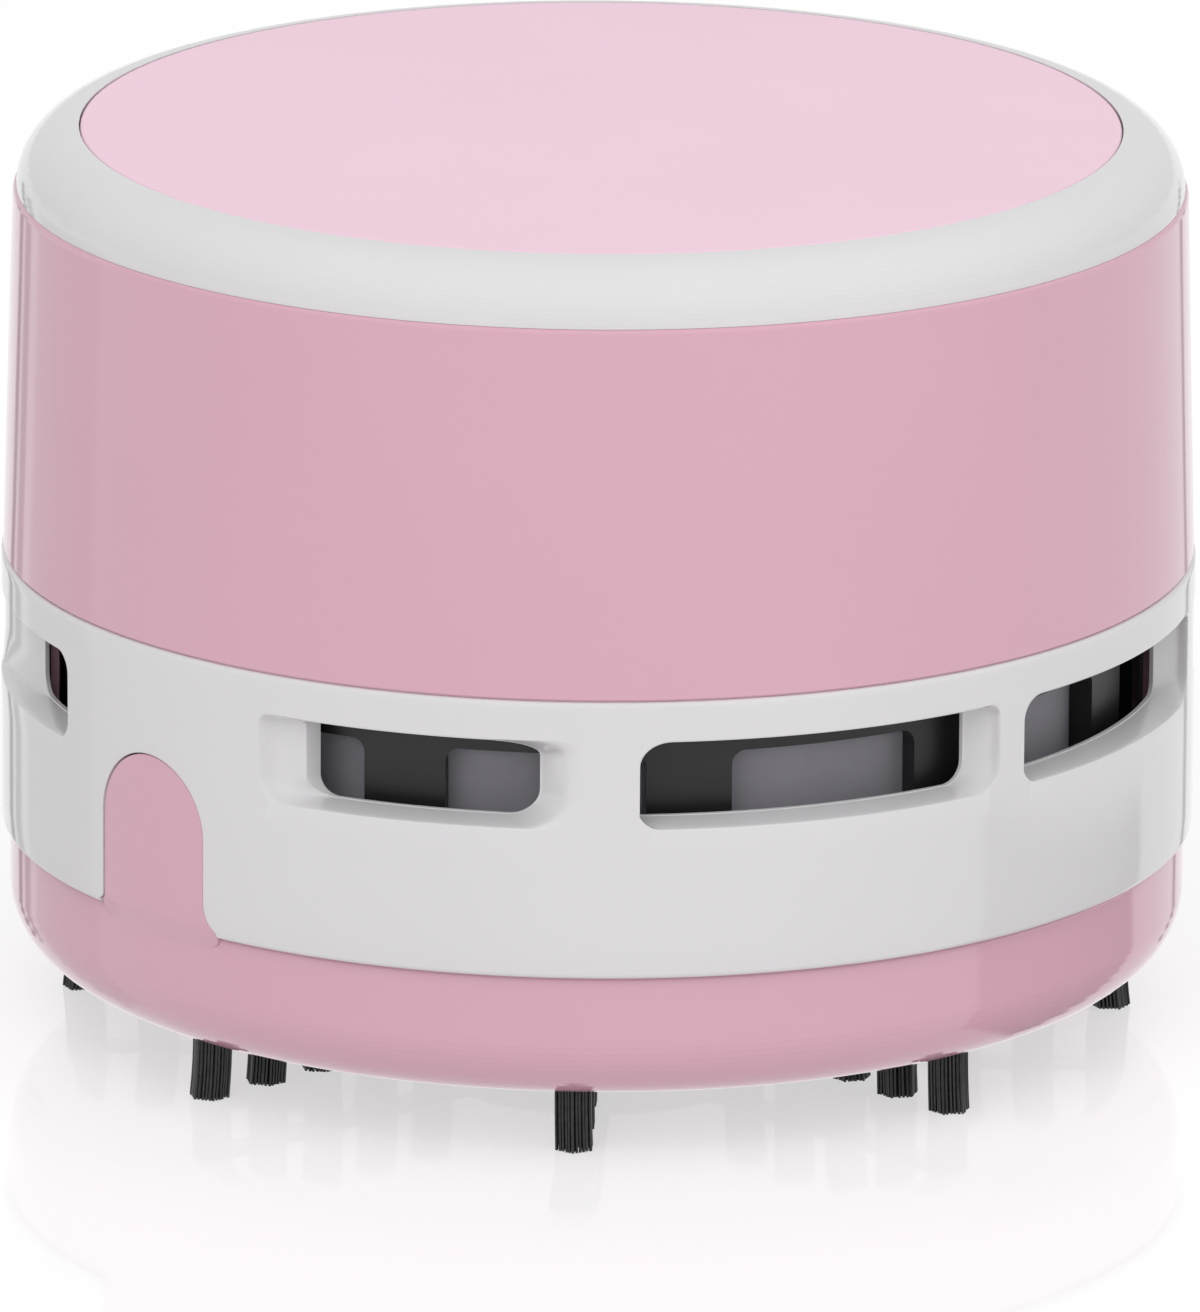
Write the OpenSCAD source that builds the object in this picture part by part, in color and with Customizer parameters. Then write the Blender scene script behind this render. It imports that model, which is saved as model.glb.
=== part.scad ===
// Desktop mini vacuum cleaner: a round body on a ring of bristle tufts.
// Millimetres, +Z up. The origin is on the axis, in the plane of the bristle tips.
// The two push latches lie on the X axis, and the slide switch is on the +Y side.

/* [Heights] */
// Height of the tray's underside above the bristle tips
stand_h = 4.4; // [3.8:0.2:6]
// Height of the dust tray, from its underside to its seam
tray_h = 9.7; // [9.3:0.1:11]
// Height of the exhaust ring, from its seam to the drum
ring_h = 20.2; // [20:0.1:22]
// Height of the drum
drum_h = 26.7; // [26.5:0.1:30]
// Height of the rounded cap ring
cap_h = 4.3; // [4:0.1:6]

/* [Shells] */
// Outer radius of the exhaust ring, the widest part
body_r = 43.15; // [43:0.05:45]
// How far the tray's wall stands in from the exhaust ring
tray_in = 0.6; // [0.4:0.05:1]
// How far the drum's foot stands in from the exhaust ring
drum_in = 0.15; // [0.05:0.05:0.4]
// How much the drum's radius shrinks from foot to top
drum_taper = 0.75; // [0:0.05:1]
// How far the cap's foot stands in from the drum's top edge
cap_in = 0.25; // [0.1:0.05:0.4]
// Radial width of the cap's rounded shoulder
shoulder_w = 4.5; // [4:0.1:6]
// Wall of the drum and the tray
wall = 1.7; // [1.6:0.1:1.9]
// Wall of the exhaust ring
ring_wall = 2.7; // [2.5:0.1:2.8]
// Radius of the tray's rounded foot
tray_round = 5; // [4:0.5:6]
// Thickness of the tray's floor
floor_t = 2.2; // [2.1:0.1:2.6]
// Small rounding of the moulded edges
edge_r = 0.4; // [0.2:0.1:0.5]
// Thickness of the top disc
disc_t = 1.5; // [1.2:0.1:1.8]
// Thickness of the cap's plate under the disc
cap_plate_t = 1.5; // [1.2:0.1:1.8]
// Depth of the cap's skirt inside the drum
skirt_h = 1.6; // [1.2:0.1:2.2]

/* [Exhaust slots] */
// Height of the slots' lower edge above the ring's foot
slot_up = 12.1; // [11.5:0.1:12.4]
// Height of a slot
slot_h = 5.3; // [4.8:0.1:5.4]
// Corner radius of a slot
slot_corner = 1.6; // [1:0.1:2]
// How far the dished recess reaches below a slot
dish_drop = 1.2; // [0.8:0.1:1.4]
// How far the dished recess reaches past a slot's crisp edges
crisp_lip = 0.25; // [0.2:0.05:0.3]
// Depth of the dished recess
dish_depth = 1.4; // [1:0.1:1.6]
// Outer slots: angle from the X axis where the recess starts
outer_from = 13.4; // [13:0.1:15]
// Outer slots: angle from the X axis where the recess ends
outer_to = 46; // [44:0.1:46.4]
// Outer slots: width of the dish at an end, as an angle
outer_lip = 5.2; // [4:0.1:6]
// Inner slots: angle from the Y axis where the recess starts
inner_from = 1.5; // [1:0.1:3]
// Inner slots: angle from the Y axis where the recess ends
inner_to = 39; // [36:0.1:39.4]
// Inner slots: width of the dish at an end, as an angle
inner_lip = 4.4; // [3:0.1:6]

/* [Latches] */
// Width of a latch tab
latch_w = 10.6; // [9.6:0.2:11.4]
// Height of a latch tab above the seam
latch_h = 12.2; // [11.6:0.2:13]
// Thickness of a latch tab
latch_t = 2; // [1.8:0.1:2.2]
// Gap between a latch tab and its notch
latch_gap = 0.2; // [0.15:0.05:0.3]
// Radius of the notch's flared foot
latch_flare = 1.4; // [1:0.2:2.4]
// Width of the catch behind the ring
catch_w = 16; // [14:0.5:18]
// Height of the catch
catch_h = 4; // [3:0.5:4.5]
// Thickness of the catch
catch_t = 0.6; // [0.5:0.1:0.7]

/* [Brush] */
// Distance from one tuft to the next along a row
tuft_pitch = 5.3; // [5:0.1:5.3]
// How far the outermost tuft's tips lie inside the tray's wall
tuft_inset = 5.45; // [5.4:0.05:6.4]
// How far a row's tips lean outwards
tuft_lean = 0.8; // [0.4:0.1:1.2]
// Spacing of the strands in a tuft
strand_pitch = 0.7; // [0.68:0.01:0.75]
// Radius of a strand
strand_r = 0.28; // [0.22:0.01:0.28]
// How much wider the tips of a tuft spread than its root
tuft_splay = 1.12; // [1:0.01:1.2]
// Width of a row's backing strip
strip_w = 3.2; // [2.8:0.1:3.6]
// Thickness of a row's backing strip
strip_t = 1.4; // [1.2:0.1:1.5]

/* [Nozzle] */
// Inner radius of the intake nozzle
nozzle_r = 8.2; // [7.5:0.1:8.4]
// Wall of the nozzle
nozzle_t = 1.4; // [1.2:0.1:1.6]
// Width of the nozzle's flange under the tray
nozzle_flange_w = 2.2; // [1.6:0.1:2.4]
// Thickness of the flange
nozzle_flange_t = 1.1; // [0.8:0.1:1.4]
// Height of the nozzle inside the tray
nozzle_up = 10.4; // [9:0.2:11]

/* [Filter] */
// Gap between the filter frame and the tray's guide
filter_gap = 0.4; // [0.35:0.05:0.5]
// Wall of the filter frame
frame_wall = 1.9; // [1.6:0.1:2]
// Height of the filter frame
frame_h = 24.4; // [24:0.1:24.4]
// Number of windows round the frame
window_count = 12; // [10:1:12]
// Width of a window, as an angle
window_angle = 21; // [18:0.5:23]
// Direction of the first window
window_phase = 12; // [0:1:29]
// Height of the frame's foot below the windows
window_foot = 5.4; // [4:0.2:7]
// Height of the frame's rim above the windows
window_rim = 1.6; // [1.4:0.1:2.4]
// Corner radius of a window
window_corner = 1; // [0.5:0.1:1.5]
// Thickness of the mesh
mesh_t = 0.4; // [0.3:0.05:0.6]
// Thickness of the foam seal on the frame
seal_t = 0.6; // [0.4:0.1:0.6]

/* [Tray guide] */
// Height of the tray's guide above the seam
guide_h = 2.4; // [1.6:0.2:3]
// Thickness of the guide
guide_t = 0.8; // [0.7:0.05:0.9]
// Height of the two keys above the seam
key_h = 16.4; // [14:0.2:16.8]
// Width of a key, as an angle
key_angle = 12; // [8:1:16]
// Direction of the first key; the second is opposite
key_dir = 142; // [135:1:145]

/* [Deck] */
// Thickness of the motor deck
deck_t = 1.4; // [1.2:0.1:1.5]
// Thickness of the ring's ears above the deck
ear_t = 1; // [0.9:0.1:1.4]
// Distance of the screws from the axis
screw_circle_r = 33.5; // [33.2:0.1:33.6]
// Radius of a screw's shank
screw_r = 1.1; // [0.9:0.1:1.3]
// Length of a screw below its head
screw_l = 8; // [6:0.5:9]
// Radius of a screw's head
screw_head_r = 2.2; // [1.8:0.1:2.3]
// Thickness of a screw's head
screw_head_t = 1.2; // [1:0.1:1.3]
// Height of the drum's screw bosses
boss_h = 9.5; // [9:0.5:10.5]
// Radius of the drum's screw bosses
boss_r = 2.8; // [2.6:0.1:3]
// Thickness of the ribs that carry the bosses
rib_t = 1.4; // [1.2:0.1:1.8]
// Wall of the collar that holds the motor
collar_wall = 1.2; // [1:0.1:1.4]
// Height of the collar
collar_h = 8; // [6:0.5:10]

/* [Motor and impeller] */
// Diameter of the motor can
can_d = 20; // [19:0.1:20.4]
// Width of the can across its flats
can_flat = 15; // [14.4:0.1:15.4]
// Height of the can
can_h = 20; // [19:0.1:20.2]
// Height of the motor's end cap
end_cap_h = 4.9; // [4:0.1:5]
// Radius of the motor's bearing boss
bearing_r = 3; // [2.6:0.1:3.2]
// Radius of the motor shaft
shaft_r = 1; // [0.75:0.05:1.2]
// How far the shaft reaches into the motor
shaft_in = 9; // [6:0.5:12]
// Radius of the impeller
impeller_r = 22; // [19:0.5:24]
// Height of the impeller's blades
blade_h = 5.6; // [4.6:0.2:5.8]
// Thickness of a blade
blade_t = 1; // [0.8:0.1:1.2]
// Radius of a blade's curve
blade_curve_r = 14; // [13:0.5:18]
// Number of blades
blade_count = 8; // [6:1:10]
// Thickness of the impeller's plate
impeller_plate_t = 1.2; // [1:0.1:1.4]
// Radius of the impeller's hub
hub_r = 4; // [3.2:0.1:4.4]
// Gap between the impeller and the deck
impeller_gap = 2.7; // [2.6:0.1:3]

/* [Cells] */
// Diameter of a cell
cell_d = 14.5; // [14:0.1:14.5]
// Length of a cell without its button
cell_l = 49.5; // [49:0.1:49.5]
// Height of a cell's button
button_h = 1; // [0.8:0.1:1.2]
// Radius of a cell's button
button_r = 2.75; // [2.5:0.05:3]
// Distance of a cell's axis from the middle
cell_x = 17; // [16.8:0.1:17.2]
// Thickness of the holder under a cell
holder_floor = 1.4; // [1.2:0.1:1.8]
// Height of the holder
holder_h = 9; // [8:0.2:10]
// Wall of the holder
holder_wall = 1.6; // [1.4:0.1:1.8]
// Thickness of the contact strips
contact_t = 0.4; // [0.3:0.05:0.5]
// Width of the contact strips
contact_w = 8; // [6:0.5:9]

/* [Switch] */
// Height of the switch above the drum's foot
switch_up = 14.5; // [13.5:0.5:15]
// Travel of the knob
switch_travel = 4; // [3:0.5:4]
// Width of the knob's pad
knob_w = 7; // [6:0.5:7.5]
// Height of the knob's pad
knob_h = 5; // [4:0.5:5.5]
// Width and height of the knob's stem
stem_w = 3; // [2.4:0.1:3.2]
// Depth of the thumb recess in the drum
recess_depth = 1.3; // [1.1:0.1:1.4]
// Margin of the recess round the knob's path
recess_margin = 1.2; // [1:0.1:2]
// Width of the switch body
switch_w = 12; // [11:0.5:13]
// Height of the switch body
switch_h = 6; // [5:0.5:6.5]
// Depth of the switch body
switch_d = 4.6; // [4:0.2:5]

/* [Fits] */
// Clearance between pieces that move apart
gap = 0.3; // [0.25:0.05:0.35]
// Clearance of pieces seated in one another
seat = 0.1; // [0.05:0.05:0.12]
// Radial running clearance of the shaft
run = 0.04; // [0.02:0.01:0.08]

/* [Hidden] */
$fn = 96;
tiny = 0.01;
through = 6;
pink = [0.84, 0.66, 0.73];
pale_pink = [0.92, 0.80, 0.86];
white = [0.85, 0.84, 0.85];
clear = [0.88, 0.89, 0.90];
black = [0.09, 0.09, 0.10];
grey = [0.45, 0.44, 0.46];
steel = [0.62, 0.62, 0.64];
brass = [0.75, 0.62, 0.35];
red = [0.70, 0.14, 0.10];
brown = [0.72, 0.38, 0.16];

// Levels
z_tray = stand_h;
z_floor = z_tray + floor_t;
z_ring = z_tray + tray_h;
z_drum = z_ring + ring_h;
z_cap = z_drum + drum_h;
z_top = z_cap + cap_h;
z_ears = z_drum - ear_t;
z_deck = z_ears - deck_t;
z_slot = z_ring + slot_up;

// Radii
tray_r = body_r - tray_in;
drum_r = body_r - drum_in;
drum_top_r = drum_r - drum_taper;
cap_r = drum_top_r - cap_in;
disc_seat_r = cap_r - shoulder_w;
ring_in_r = body_r - ring_wall;
guide_r = ring_in_r - gap;
guide_in_r = guide_r - guide_t;
frame_r = guide_in_r - filter_gap;
frame_in_r = frame_r - frame_wall;
mesh_r = frame_in_r - seat / 2;
mesh_in_r = mesh_r - mesh_t;

// Latch: the pivot is the axis of its rounded foot
latch_top = latch_h - latch_w / 2;
latch_face_r = body_r - seat;
latch_back_r = latch_face_r - latch_t;
latch_foot_r = latch_t / 2;
pivot_r = latch_face_r - latch_foot_r - seat / 2;
pivot_z = z_ring + latch_foot_r + seat / 2;
catch_z = z_ring + latch_top;

// Filter
frame_top = z_floor + frame_h;
window_z = z_floor + window_foot;
window_h = frame_h - window_foot - window_rim;

// Motor and impeller
motor_z = z_ears;
can_top = motor_z + can_h;
motor_top = can_top + end_cap_h;
terminal_t = 0.5;
terminal_w = 2.4;
terminal_h = 1.8;
terminal_y = can_d / 2 - 2.2;
capacitor_r = 3;
capacitor_t = 1.6;
bearing_hole_r = bearing_r + run;
impeller_top = z_deck - impeller_gap;
blade_top = impeller_top - impeller_plate_t;
blade_bottom = blade_top - blade_h;

// Cells and holder
cell_r = cell_d / 2;
cell_z = z_ears + holder_floor + seat + cell_r;
pocket_d = 2.2;
pocket_y = (cell_l + button_h) / 2 + pocket_d;
holder_x = cell_x + cell_r + seat + holder_wall;
holder_y = pocket_y + holder_wall;
contact_y = pocket_y - contact_t;
strip_rise = 3;

// Switch: the recess floor is a plane square to Y
switch_z = z_drum + switch_up;
recess_y = drum_wall_r(switch_z) - recess_depth;
recess_back = recess_y - 1;
recess_w = knob_w + switch_travel + 2 * recess_margin;
recess_h = knob_h + 2 * recess_margin;
knob_t = recess_depth - 2 * seat;
knob_rest = -switch_travel / 2;
switch_y = recess_back - seat;

// Brush
row_count = 8;
tufts = 5;
strand_sides = 3;
tuft_rows = [3, 4, 3];
root_depth = 0.6;
tip_r = strand_r * 0.85;
jitter = 0.05;
tuft_last_r = tray_r - tuft_inset - tuft_lean;
strip_end_r = tuft_last_r + strip_w / 2;
strip_start_r = tuft_last_r - (tufts - 1) * tuft_pitch - strip_w / 2;

// ---- helpers ----

function arc(cx, cy, rx, ry, from, to, n) =
    [for (i = [0:n]) let (a = from + (to - from) * i / n) [cx + rx * cos(a), cy + ry * sin(a)]];

// Outer radius of the drum at a height
function drum_wall_r(z) = drum_r - drum_taper * (z - z_drum) / drum_h;

function unit(v) = v / norm(v);

module tube(outer, inner, z, h) {
    translate([0, 0, z])
        rotate_extrude()
            translate([inner, 0])
                square([outer - inner, h]);
}

// A rectangle with round corners, from its lower left corner
module round_rect(w, h, r) {
    translate([r, 0]) square([w - 2 * r, h]);
    translate([0, r]) square([w, h - 2 * r]);
    for (x = [r, w - r], y = [r, h - r])
        translate([x, y]) circle(r, $fn = 32);
}

// The can's outline: a circle with two flats
module can_outline(extra) {
    intersection() {
        circle(can_d / 2 + extra);
        square([can_flat + 2 * extra, can_d + 4 * extra], center = true);
    }
}

// Places its children at the four screws
module at_screws() {
    for (a = [0:90:270])
        rotate(a)
            translate([screw_circle_r, 0, 0])
                children();
}

// ---- dust tray and what it carries ----

module tray_profile() {
    foot_x = tray_r - tray_round;
    inner_x = tray_r - wall;
    inner_round = inner_x - frame_r - filter_gap;
    ledge_z = z_ring - (inner_x - guide_in_r);
    polygon(concat(
        [[nozzle_r + nozzle_t + seat, z_tray]],
        arc(foot_x, z_tray + tray_round, tray_round, tray_round, -90, 0, 16),
        arc(tray_r - edge_r, z_ring - edge_r, edge_r, edge_r, 0, 90, 4),
        [[guide_r, z_ring], [guide_r, z_ring + guide_h], [guide_in_r, z_ring + guide_h]],
        [[guide_in_r, z_ring], [inner_x, ledge_z]],
        arc(inner_x - inner_round, z_floor + inner_round, inner_round, inner_round, 0, -90, 10),
        [[nozzle_r + nozzle_t + seat, z_floor]]
    ));
}

// A key stands in the guide, and rises behind the exhaust ring
module tray_key(direction) {
    inner = guide_in_r + seat;
    outer = guide_r - seat;
    top = z_ring + key_h;
    slope = 1.5;
    rotate(direction - key_angle / 2)
        rotate_extrude(angle = key_angle)
            polygon([
                [inner, z_ring + guide_h / 2],
                [outer, z_ring + guide_h / 2],
                [outer, top - slope],
                [inner + seat, top],
                [inner, top]
            ]);
}

module dust_tray() {
    color(pink)
        difference() {
            union() {
                rotate_extrude() tray_profile();
                tray_key(key_dir);
                tray_key(key_dir + 180);
            }
            for (k = [1:row_count])
                strip_block(k, seat, z_tray - through, through + strip_t);
        }
}

// The backing strip of row k, grown by a margin
module strip_block(k, margin, z, h) {
    rotate((k - 1) * 360 / row_count)
        translate([strip_start_r - margin, -strip_w / 2 - margin, z])
            cube([strip_end_r - strip_start_r + 2 * margin, strip_w + 2 * margin, h]);
}

module intake_nozzle() {
    lip = nozzle_t / 2;
    bottom = z_tray - nozzle_flange_t;
    outer = nozzle_r + nozzle_t;
    color(clear)
        rotate_extrude()
            polygon(concat(
                [[nozzle_r + lip, bottom]],
                arc(outer + nozzle_flange_w - edge_r, bottom + edge_r, edge_r, edge_r, -90, 0, 4),
                [[outer + nozzle_flange_w, z_tray], [outer, z_tray]],
                arc(outer - lip, z_floor + nozzle_up - lip, lip, lip, 0, 90, 4),
                [[nozzle_r, z_floor + nozzle_up - lip]],
                [[nozzle_r, bottom + lip]]
            ));
}

// Where strand s of a tuft stands, from the tuft's centre
function strand_places() =
    [for (j = [0:len(tuft_rows) - 1]) for (i = [0:tuft_rows[j] - 1])
        [(j - 1) * strand_pitch * sin(60), (i - (tuft_rows[j] - 1) / 2) * strand_pitch]];

function ring_points(centre, r, turn) =
    [for (i = [0:strand_sides - 1])
        let (a = turn + i * 360 / strand_sides)
        [centre[0] + r * cos(a), centre[1] + r * sin(a), centre[2]]];

// The six corners of a strand: its root in the strip, its flat tip in the plane of the tips
function strand_points(tuft_x, place, k) =
    let (
        root = [tuft_x + place[0], place[1], stand_h + root_depth],
        tip_x = tuft_x + tuft_lean + place[0] * tuft_splay + jitter * sin(137 * k),
        tip = [tip_x, place[1] * tuft_splay + jitter * cos(211 * k), 0]
    )
    concat(ring_points(root, strand_r, 47 * k), ring_points(tip, tip_r, 47 * k));

function strand_faces(b) = [
    [b + 2, b + 1, b], [b + 3, b + 4, b + 5],
    for (i = [0:2]) let (j = (i + 1) % 3) [b + i, b + j, b + j + 3],
    for (i = [0:2]) let (j = (i + 1) % 3) [b + i, b + j + 3, b + i + 3]
];

module row_strands(k) {
    places = strand_places();
    per_tuft = len(places);
    points = [for (t = [0:tufts - 1]) for (s = [0:per_tuft - 1])
        each strand_points(tuft_last_r - t * tuft_pitch, places[s], s + t * per_tuft + k)];
    faces = [for (n = [0:tufts * per_tuft - 1]) each strand_faces(n * 2 * strand_sides)];
    polyhedron(points, faces);
}

module brush_row(k) {
    color(black)
        union() {
            strip_block(k, 0, z_tray, strip_t);
            rotate((k - 1) * 360 / row_count) row_strands(k);
        }
}

module filter_frame() {
    color(black)
        difference() {
            tube(frame_r, frame_in_r, z_floor, frame_h);
            for (k = [0:window_count - 1])
                rotate(window_phase + k * 360 / window_count)
                    window_cutter();
        }
}

module window_cutter() {
    w = 2 * frame_r * sin(window_angle / 2);
    translate([frame_in_r - through / 2, 0, window_z])
        rotate([90, 0, 90])
            linear_extrude(through + frame_wall)
                translate([-w / 2, 0])
                    round_rect(w, window_h, window_corner);
}

module filter_mesh() {
    color(grey)
        tube(mesh_r, mesh_in_r, z_floor, frame_h - window_rim / 2);
}

module filter_seal() {
    color(black)
        tube(frame_r, frame_in_r, frame_top, seal_t);
}

// ---- latches ----

// A prism along +X, through the wall
module latch_prism() {
    rotate([90, 0, 90])
        linear_extrude(body_r + through)
            children();
}

// The tab's outline as seen along X, grown by a margin
module latch_outline(margin) {
    half = latch_w / 2 + margin;
    translate([0, z_ring + latch_top]) circle(half);
    translate([-half, z_ring - margin]) square([2 * half, latch_top + margin]);
}

// The tab's rounded foot, on whose axis it swings
module latch_foot() {
    intersection() {
        cylinder(h = z_drum, r = latch_face_r);
        translate([pivot_r, 0, pivot_z])
            rotate([90, 0, 0])
                cylinder(h = latch_w, r = latch_foot_r, center = true);
    }
}

module latch_catch(outer, inner, w) {
    intersection() {
        tube(outer, inner, z_ring, latch_h);
        latch_prism()
            translate([-w / 2, catch_z - catch_h / 2])
                square([w, catch_h]);
    }
}

// A latch on the +X side
module latch() {
    union() {
        intersection() {
            tube(latch_face_r, latch_back_r, pivot_z, latch_h);
            latch_prism() latch_outline(0);
        }
        latch_foot();
        latch_catch(latch_back_r + tiny, guide_r, catch_w / 2);
        latch_catch(guide_r, guide_r - catch_t, catch_w);
    }
}

module latch_left() {
    color(pink) mirror([1, 0, 0]) latch();
}

module latch_right() {
    color(pink) latch();
}

// ---- housing ----

module ring_profile() {
    polygon(concat(
        [[ring_in_r, z_ring]],
        arc(body_r - edge_r, z_ring + edge_r, edge_r, edge_r, -90, 0, 4),
        arc(body_r - edge_r, z_drum - edge_r, edge_r, edge_r, 0, 60, 3),
        [[drum_r - wall / 2, z_drum], [ring_in_r, z_drum]]
    ));
}

// A cutter on the +X side, cut along X between two distances from the X axis
module slot_block(y0, y1, z0, z1, corner, inner) {
    intersection() {
        tube(body_r + 1, inner, z0 - through, z1 - z0 + 2 * through);
        rotate([90, 0, 90])
            linear_extrude(body_r + through)
                translate([y0, z0])
                    round_rect(y1 - y0, z1 - z0, corner);
    }
}

// A slot in a dished recess that runs between two angles from the X axis.
// The slot itself stops short of the recess by a lip at each end.
module slot(from, to, start_lip, end_lip) {
    slot_block(body_r * sin(from) + start_lip, body_r * sin(to) - end_lip,
        z_slot, z_slot + slot_h, slot_corner, ring_in_r - 1);
    slot_block(body_r * sin(from), body_r * sin(to),
        z_slot - dish_drop, z_slot + slot_h + crisp_lip, slot_corner + crisp_lip, body_r - dish_depth);
}

// Four slots on the -Y side; the other four are the same, half a turn on
module slots() {
    outer_lip_w = body_r * sin(outer_lip);
    inner_lip_w = body_r * sin(inner_lip);
    for (half_turn = [0, 180])
        rotate(half_turn) {
            rotate(180) mirror([0, 1, 0]) slot(outer_from, outer_to, crisp_lip, outer_lip_w);
            rotate(180) slot(outer_from, outer_to, outer_lip_w, outer_lip_w);
            rotate(-90) mirror([0, 1, 0]) slot(inner_from, inner_to, inner_lip_w, crisp_lip);
            rotate(-90) slot(inner_from, inner_to, crisp_lip, inner_lip_w);
        }
}

// The notch for a latch on the +X side, with its flared foot
module latch_notch() {
    half = latch_w / 2 + latch_gap;
    latch_prism() {
        latch_outline(latch_gap);
        translate([-half, z_ring - 1]) square([2 * half, latch_top]);
        for (side = [0, 1])
            mirror([side, 0])
                difference() {
                    translate([half - tiny, z_ring - 1]) square([latch_flare, latch_flare + 1]);
                    translate([half + latch_flare, z_ring + latch_flare]) circle(latch_flare);
                }
    }
}

module ring_ear() {
    reach = ring_in_r - screw_circle_r + tiny;
    translate([0, 0, z_ears]) {
        cylinder(h = ear_t, r = boss_r);
        translate([0, -boss_r, 0]) cube([reach, 2 * boss_r, ear_t]);
    }
}

module exhaust_ring() {
    color(white)
        difference() {
            union() {
                rotate_extrude() ring_profile();
                at_screws() ring_ear();
            }
            slots();
            latch_notch();
            mirror([1, 0, 0]) latch_notch();
            at_screws()
                translate([0, 0, z_ears - 1]) cylinder(h = ear_t + 2, r = screw_r + gap);
        }
}

module drum_profile() {
    lip_r = drum_r - wall;
    polygon(concat(
        [[lip_r, z_drum]],
        [[drum_r - edge_r / 2, z_drum], [drum_r, z_drum + edge_r / 2]],
        arc(drum_top_r - edge_r, z_cap - edge_r, edge_r, edge_r, 0, 90, 4),
        [[drum_top_r - wall, z_cap]]
    ));
}

module drum_boss() {
    reach = drum_r - wall - screw_circle_r + wall / 3;
    translate([0, 0, z_drum]) {
        cylinder(h = boss_h, r = boss_r);
        translate([0, -rib_t / 2, 0]) cube([reach, rib_t, boss_h]);
    }
}

// The flat pad inside the wall that backs the thumb recess
module recess_pad() {
    intersection() {
        translate([-recess_w / 2 - wall, recess_back, switch_z - recess_h / 2 - wall])
            cube([recess_w + 2 * wall, body_r, recess_h + 2 * wall]);
        cylinder(h = z_cap, r = drum_top_r - wall / 2);
    }
}

module drum_shell() {
    stem_path = stem_w + switch_travel + 2 * gap;
    color(pink)
        difference() {
            union() {
                rotate_extrude() drum_profile();
                at_screws() drum_boss();
                recess_pad();
            }
            translate([-recess_w / 2, recess_y, switch_z - recess_h / 2])
                rotate([90, 0, 0])
                    translate([0, 0, -body_r])
                        linear_extrude(body_r)
                            round_rect(recess_w, recess_h, recess_margin);
            translate([-stem_path / 2, recess_back - 1, switch_z - stem_w / 2 - gap])
                cube([stem_path, through, stem_w + 2 * gap]);
            at_screws()
                translate([0, 0, z_drum - 1]) cylinder(h = boss_h, r = screw_r + run);
        }
}

module motor_deck() {
    hole_r = screw_r + gap;
    color(black)
        difference() {
            union() {
                translate([0, 0, z_deck]) cylinder(h = deck_t, r = ring_in_r - seat);
                translate([0, 0, z_ears])
                    linear_extrude(collar_h)
                        difference() {
                            can_outline(seat + collar_wall);
                            can_outline(seat);
                        }
            }
            translate([0, 0, z_deck - 1]) cylinder(h = deck_t + 2, r = bearing_hole_r);
            at_screws()
                translate([0, 0, z_deck - 1]) cylinder(h = deck_t + 2, r = hole_r);
        }
}

module deck_screws() {
    color(steel)
        at_screws() {
            difference() {
                translate([0, 0, z_deck - screw_head_t]) cylinder(h = screw_head_t, r = screw_head_r);
                for (a = [0, 90])
                    rotate(a)
                        translate([0, 0, z_deck - screw_head_t])
                            cube([2 * screw_r, screw_r / 3, screw_head_t], center = true);
            }
            translate([0, 0, z_deck - tiny]) cylinder(h = screw_l, r = screw_r);
        }
}

// ---- motor ----

module motor_can() {
    color(steel)
        difference() {
            union() {
                translate([0, 0, motor_z]) linear_extrude(can_h) can_outline(0);
                translate([0, 0, z_deck]) cylinder(h = deck_t + tiny, r = bearing_r);
            }
            translate([0, 0, z_deck - 1]) cylinder(h = 1 + shaft_in + seat, r = shaft_r + run);
        }
}

module motor_end_cap() {
    color(white)
        translate([0, 0, can_top])
            linear_extrude(end_cap_h) can_outline(-seat);
}

module motor_terminals() {
    color(brass)
        for (side = [-1, 1])
            translate([-terminal_w / 2, side * terminal_y - terminal_t / 2, motor_top])
                cube([terminal_w, terminal_t, terminal_h]);
}

module noise_capacitor() {
    color(brown)
        translate([0, 0, motor_top]) cylinder(h = capacitor_t, r = capacitor_r);
}

module motor_shaft() {
    color(steel)
        translate([0, 0, blade_bottom])
            cylinder(h = z_deck + shaft_in - blade_bottom, r = shaft_r);
}

// A blade is a piece of a thin ring, cut to the impeller's plate
module blade() {
    away = blade_curve_r + hub_r - blade_t;
    intersection() {
        translate([0, 0, blade_bottom])
            cylinder(h = blade_h + tiny, r = impeller_r - blade_t);
        translate([hub_r - blade_t, away - hub_r, blade_bottom])
            difference() {
                cylinder(h = blade_h + tiny, r = blade_curve_r);
                translate([0, 0, -1]) cylinder(h = blade_h + 3, r = blade_curve_r - blade_t);
            }
        translate([0, -blade_curve_r, blade_bottom])
            cube([impeller_r, blade_curve_r + away - hub_r, blade_h + tiny]);
    }
}

module impeller() {
    color(black)
        difference() {
            union() {
                translate([0, 0, blade_top]) cylinder(h = impeller_plate_t, r = impeller_r);
                translate([0, 0, blade_bottom]) cylinder(h = blade_h + tiny, r = hub_r);
                for (k = [0:blade_count - 1])
                    rotate(k * 360 / blade_count) blade();
            }
            translate([0, 0, blade_bottom - 1])
                cylinder(h = blade_h + impeller_plate_t + 2, r = shaft_r + run);
        }
}

// ---- cells, contacts and switch ----

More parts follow.
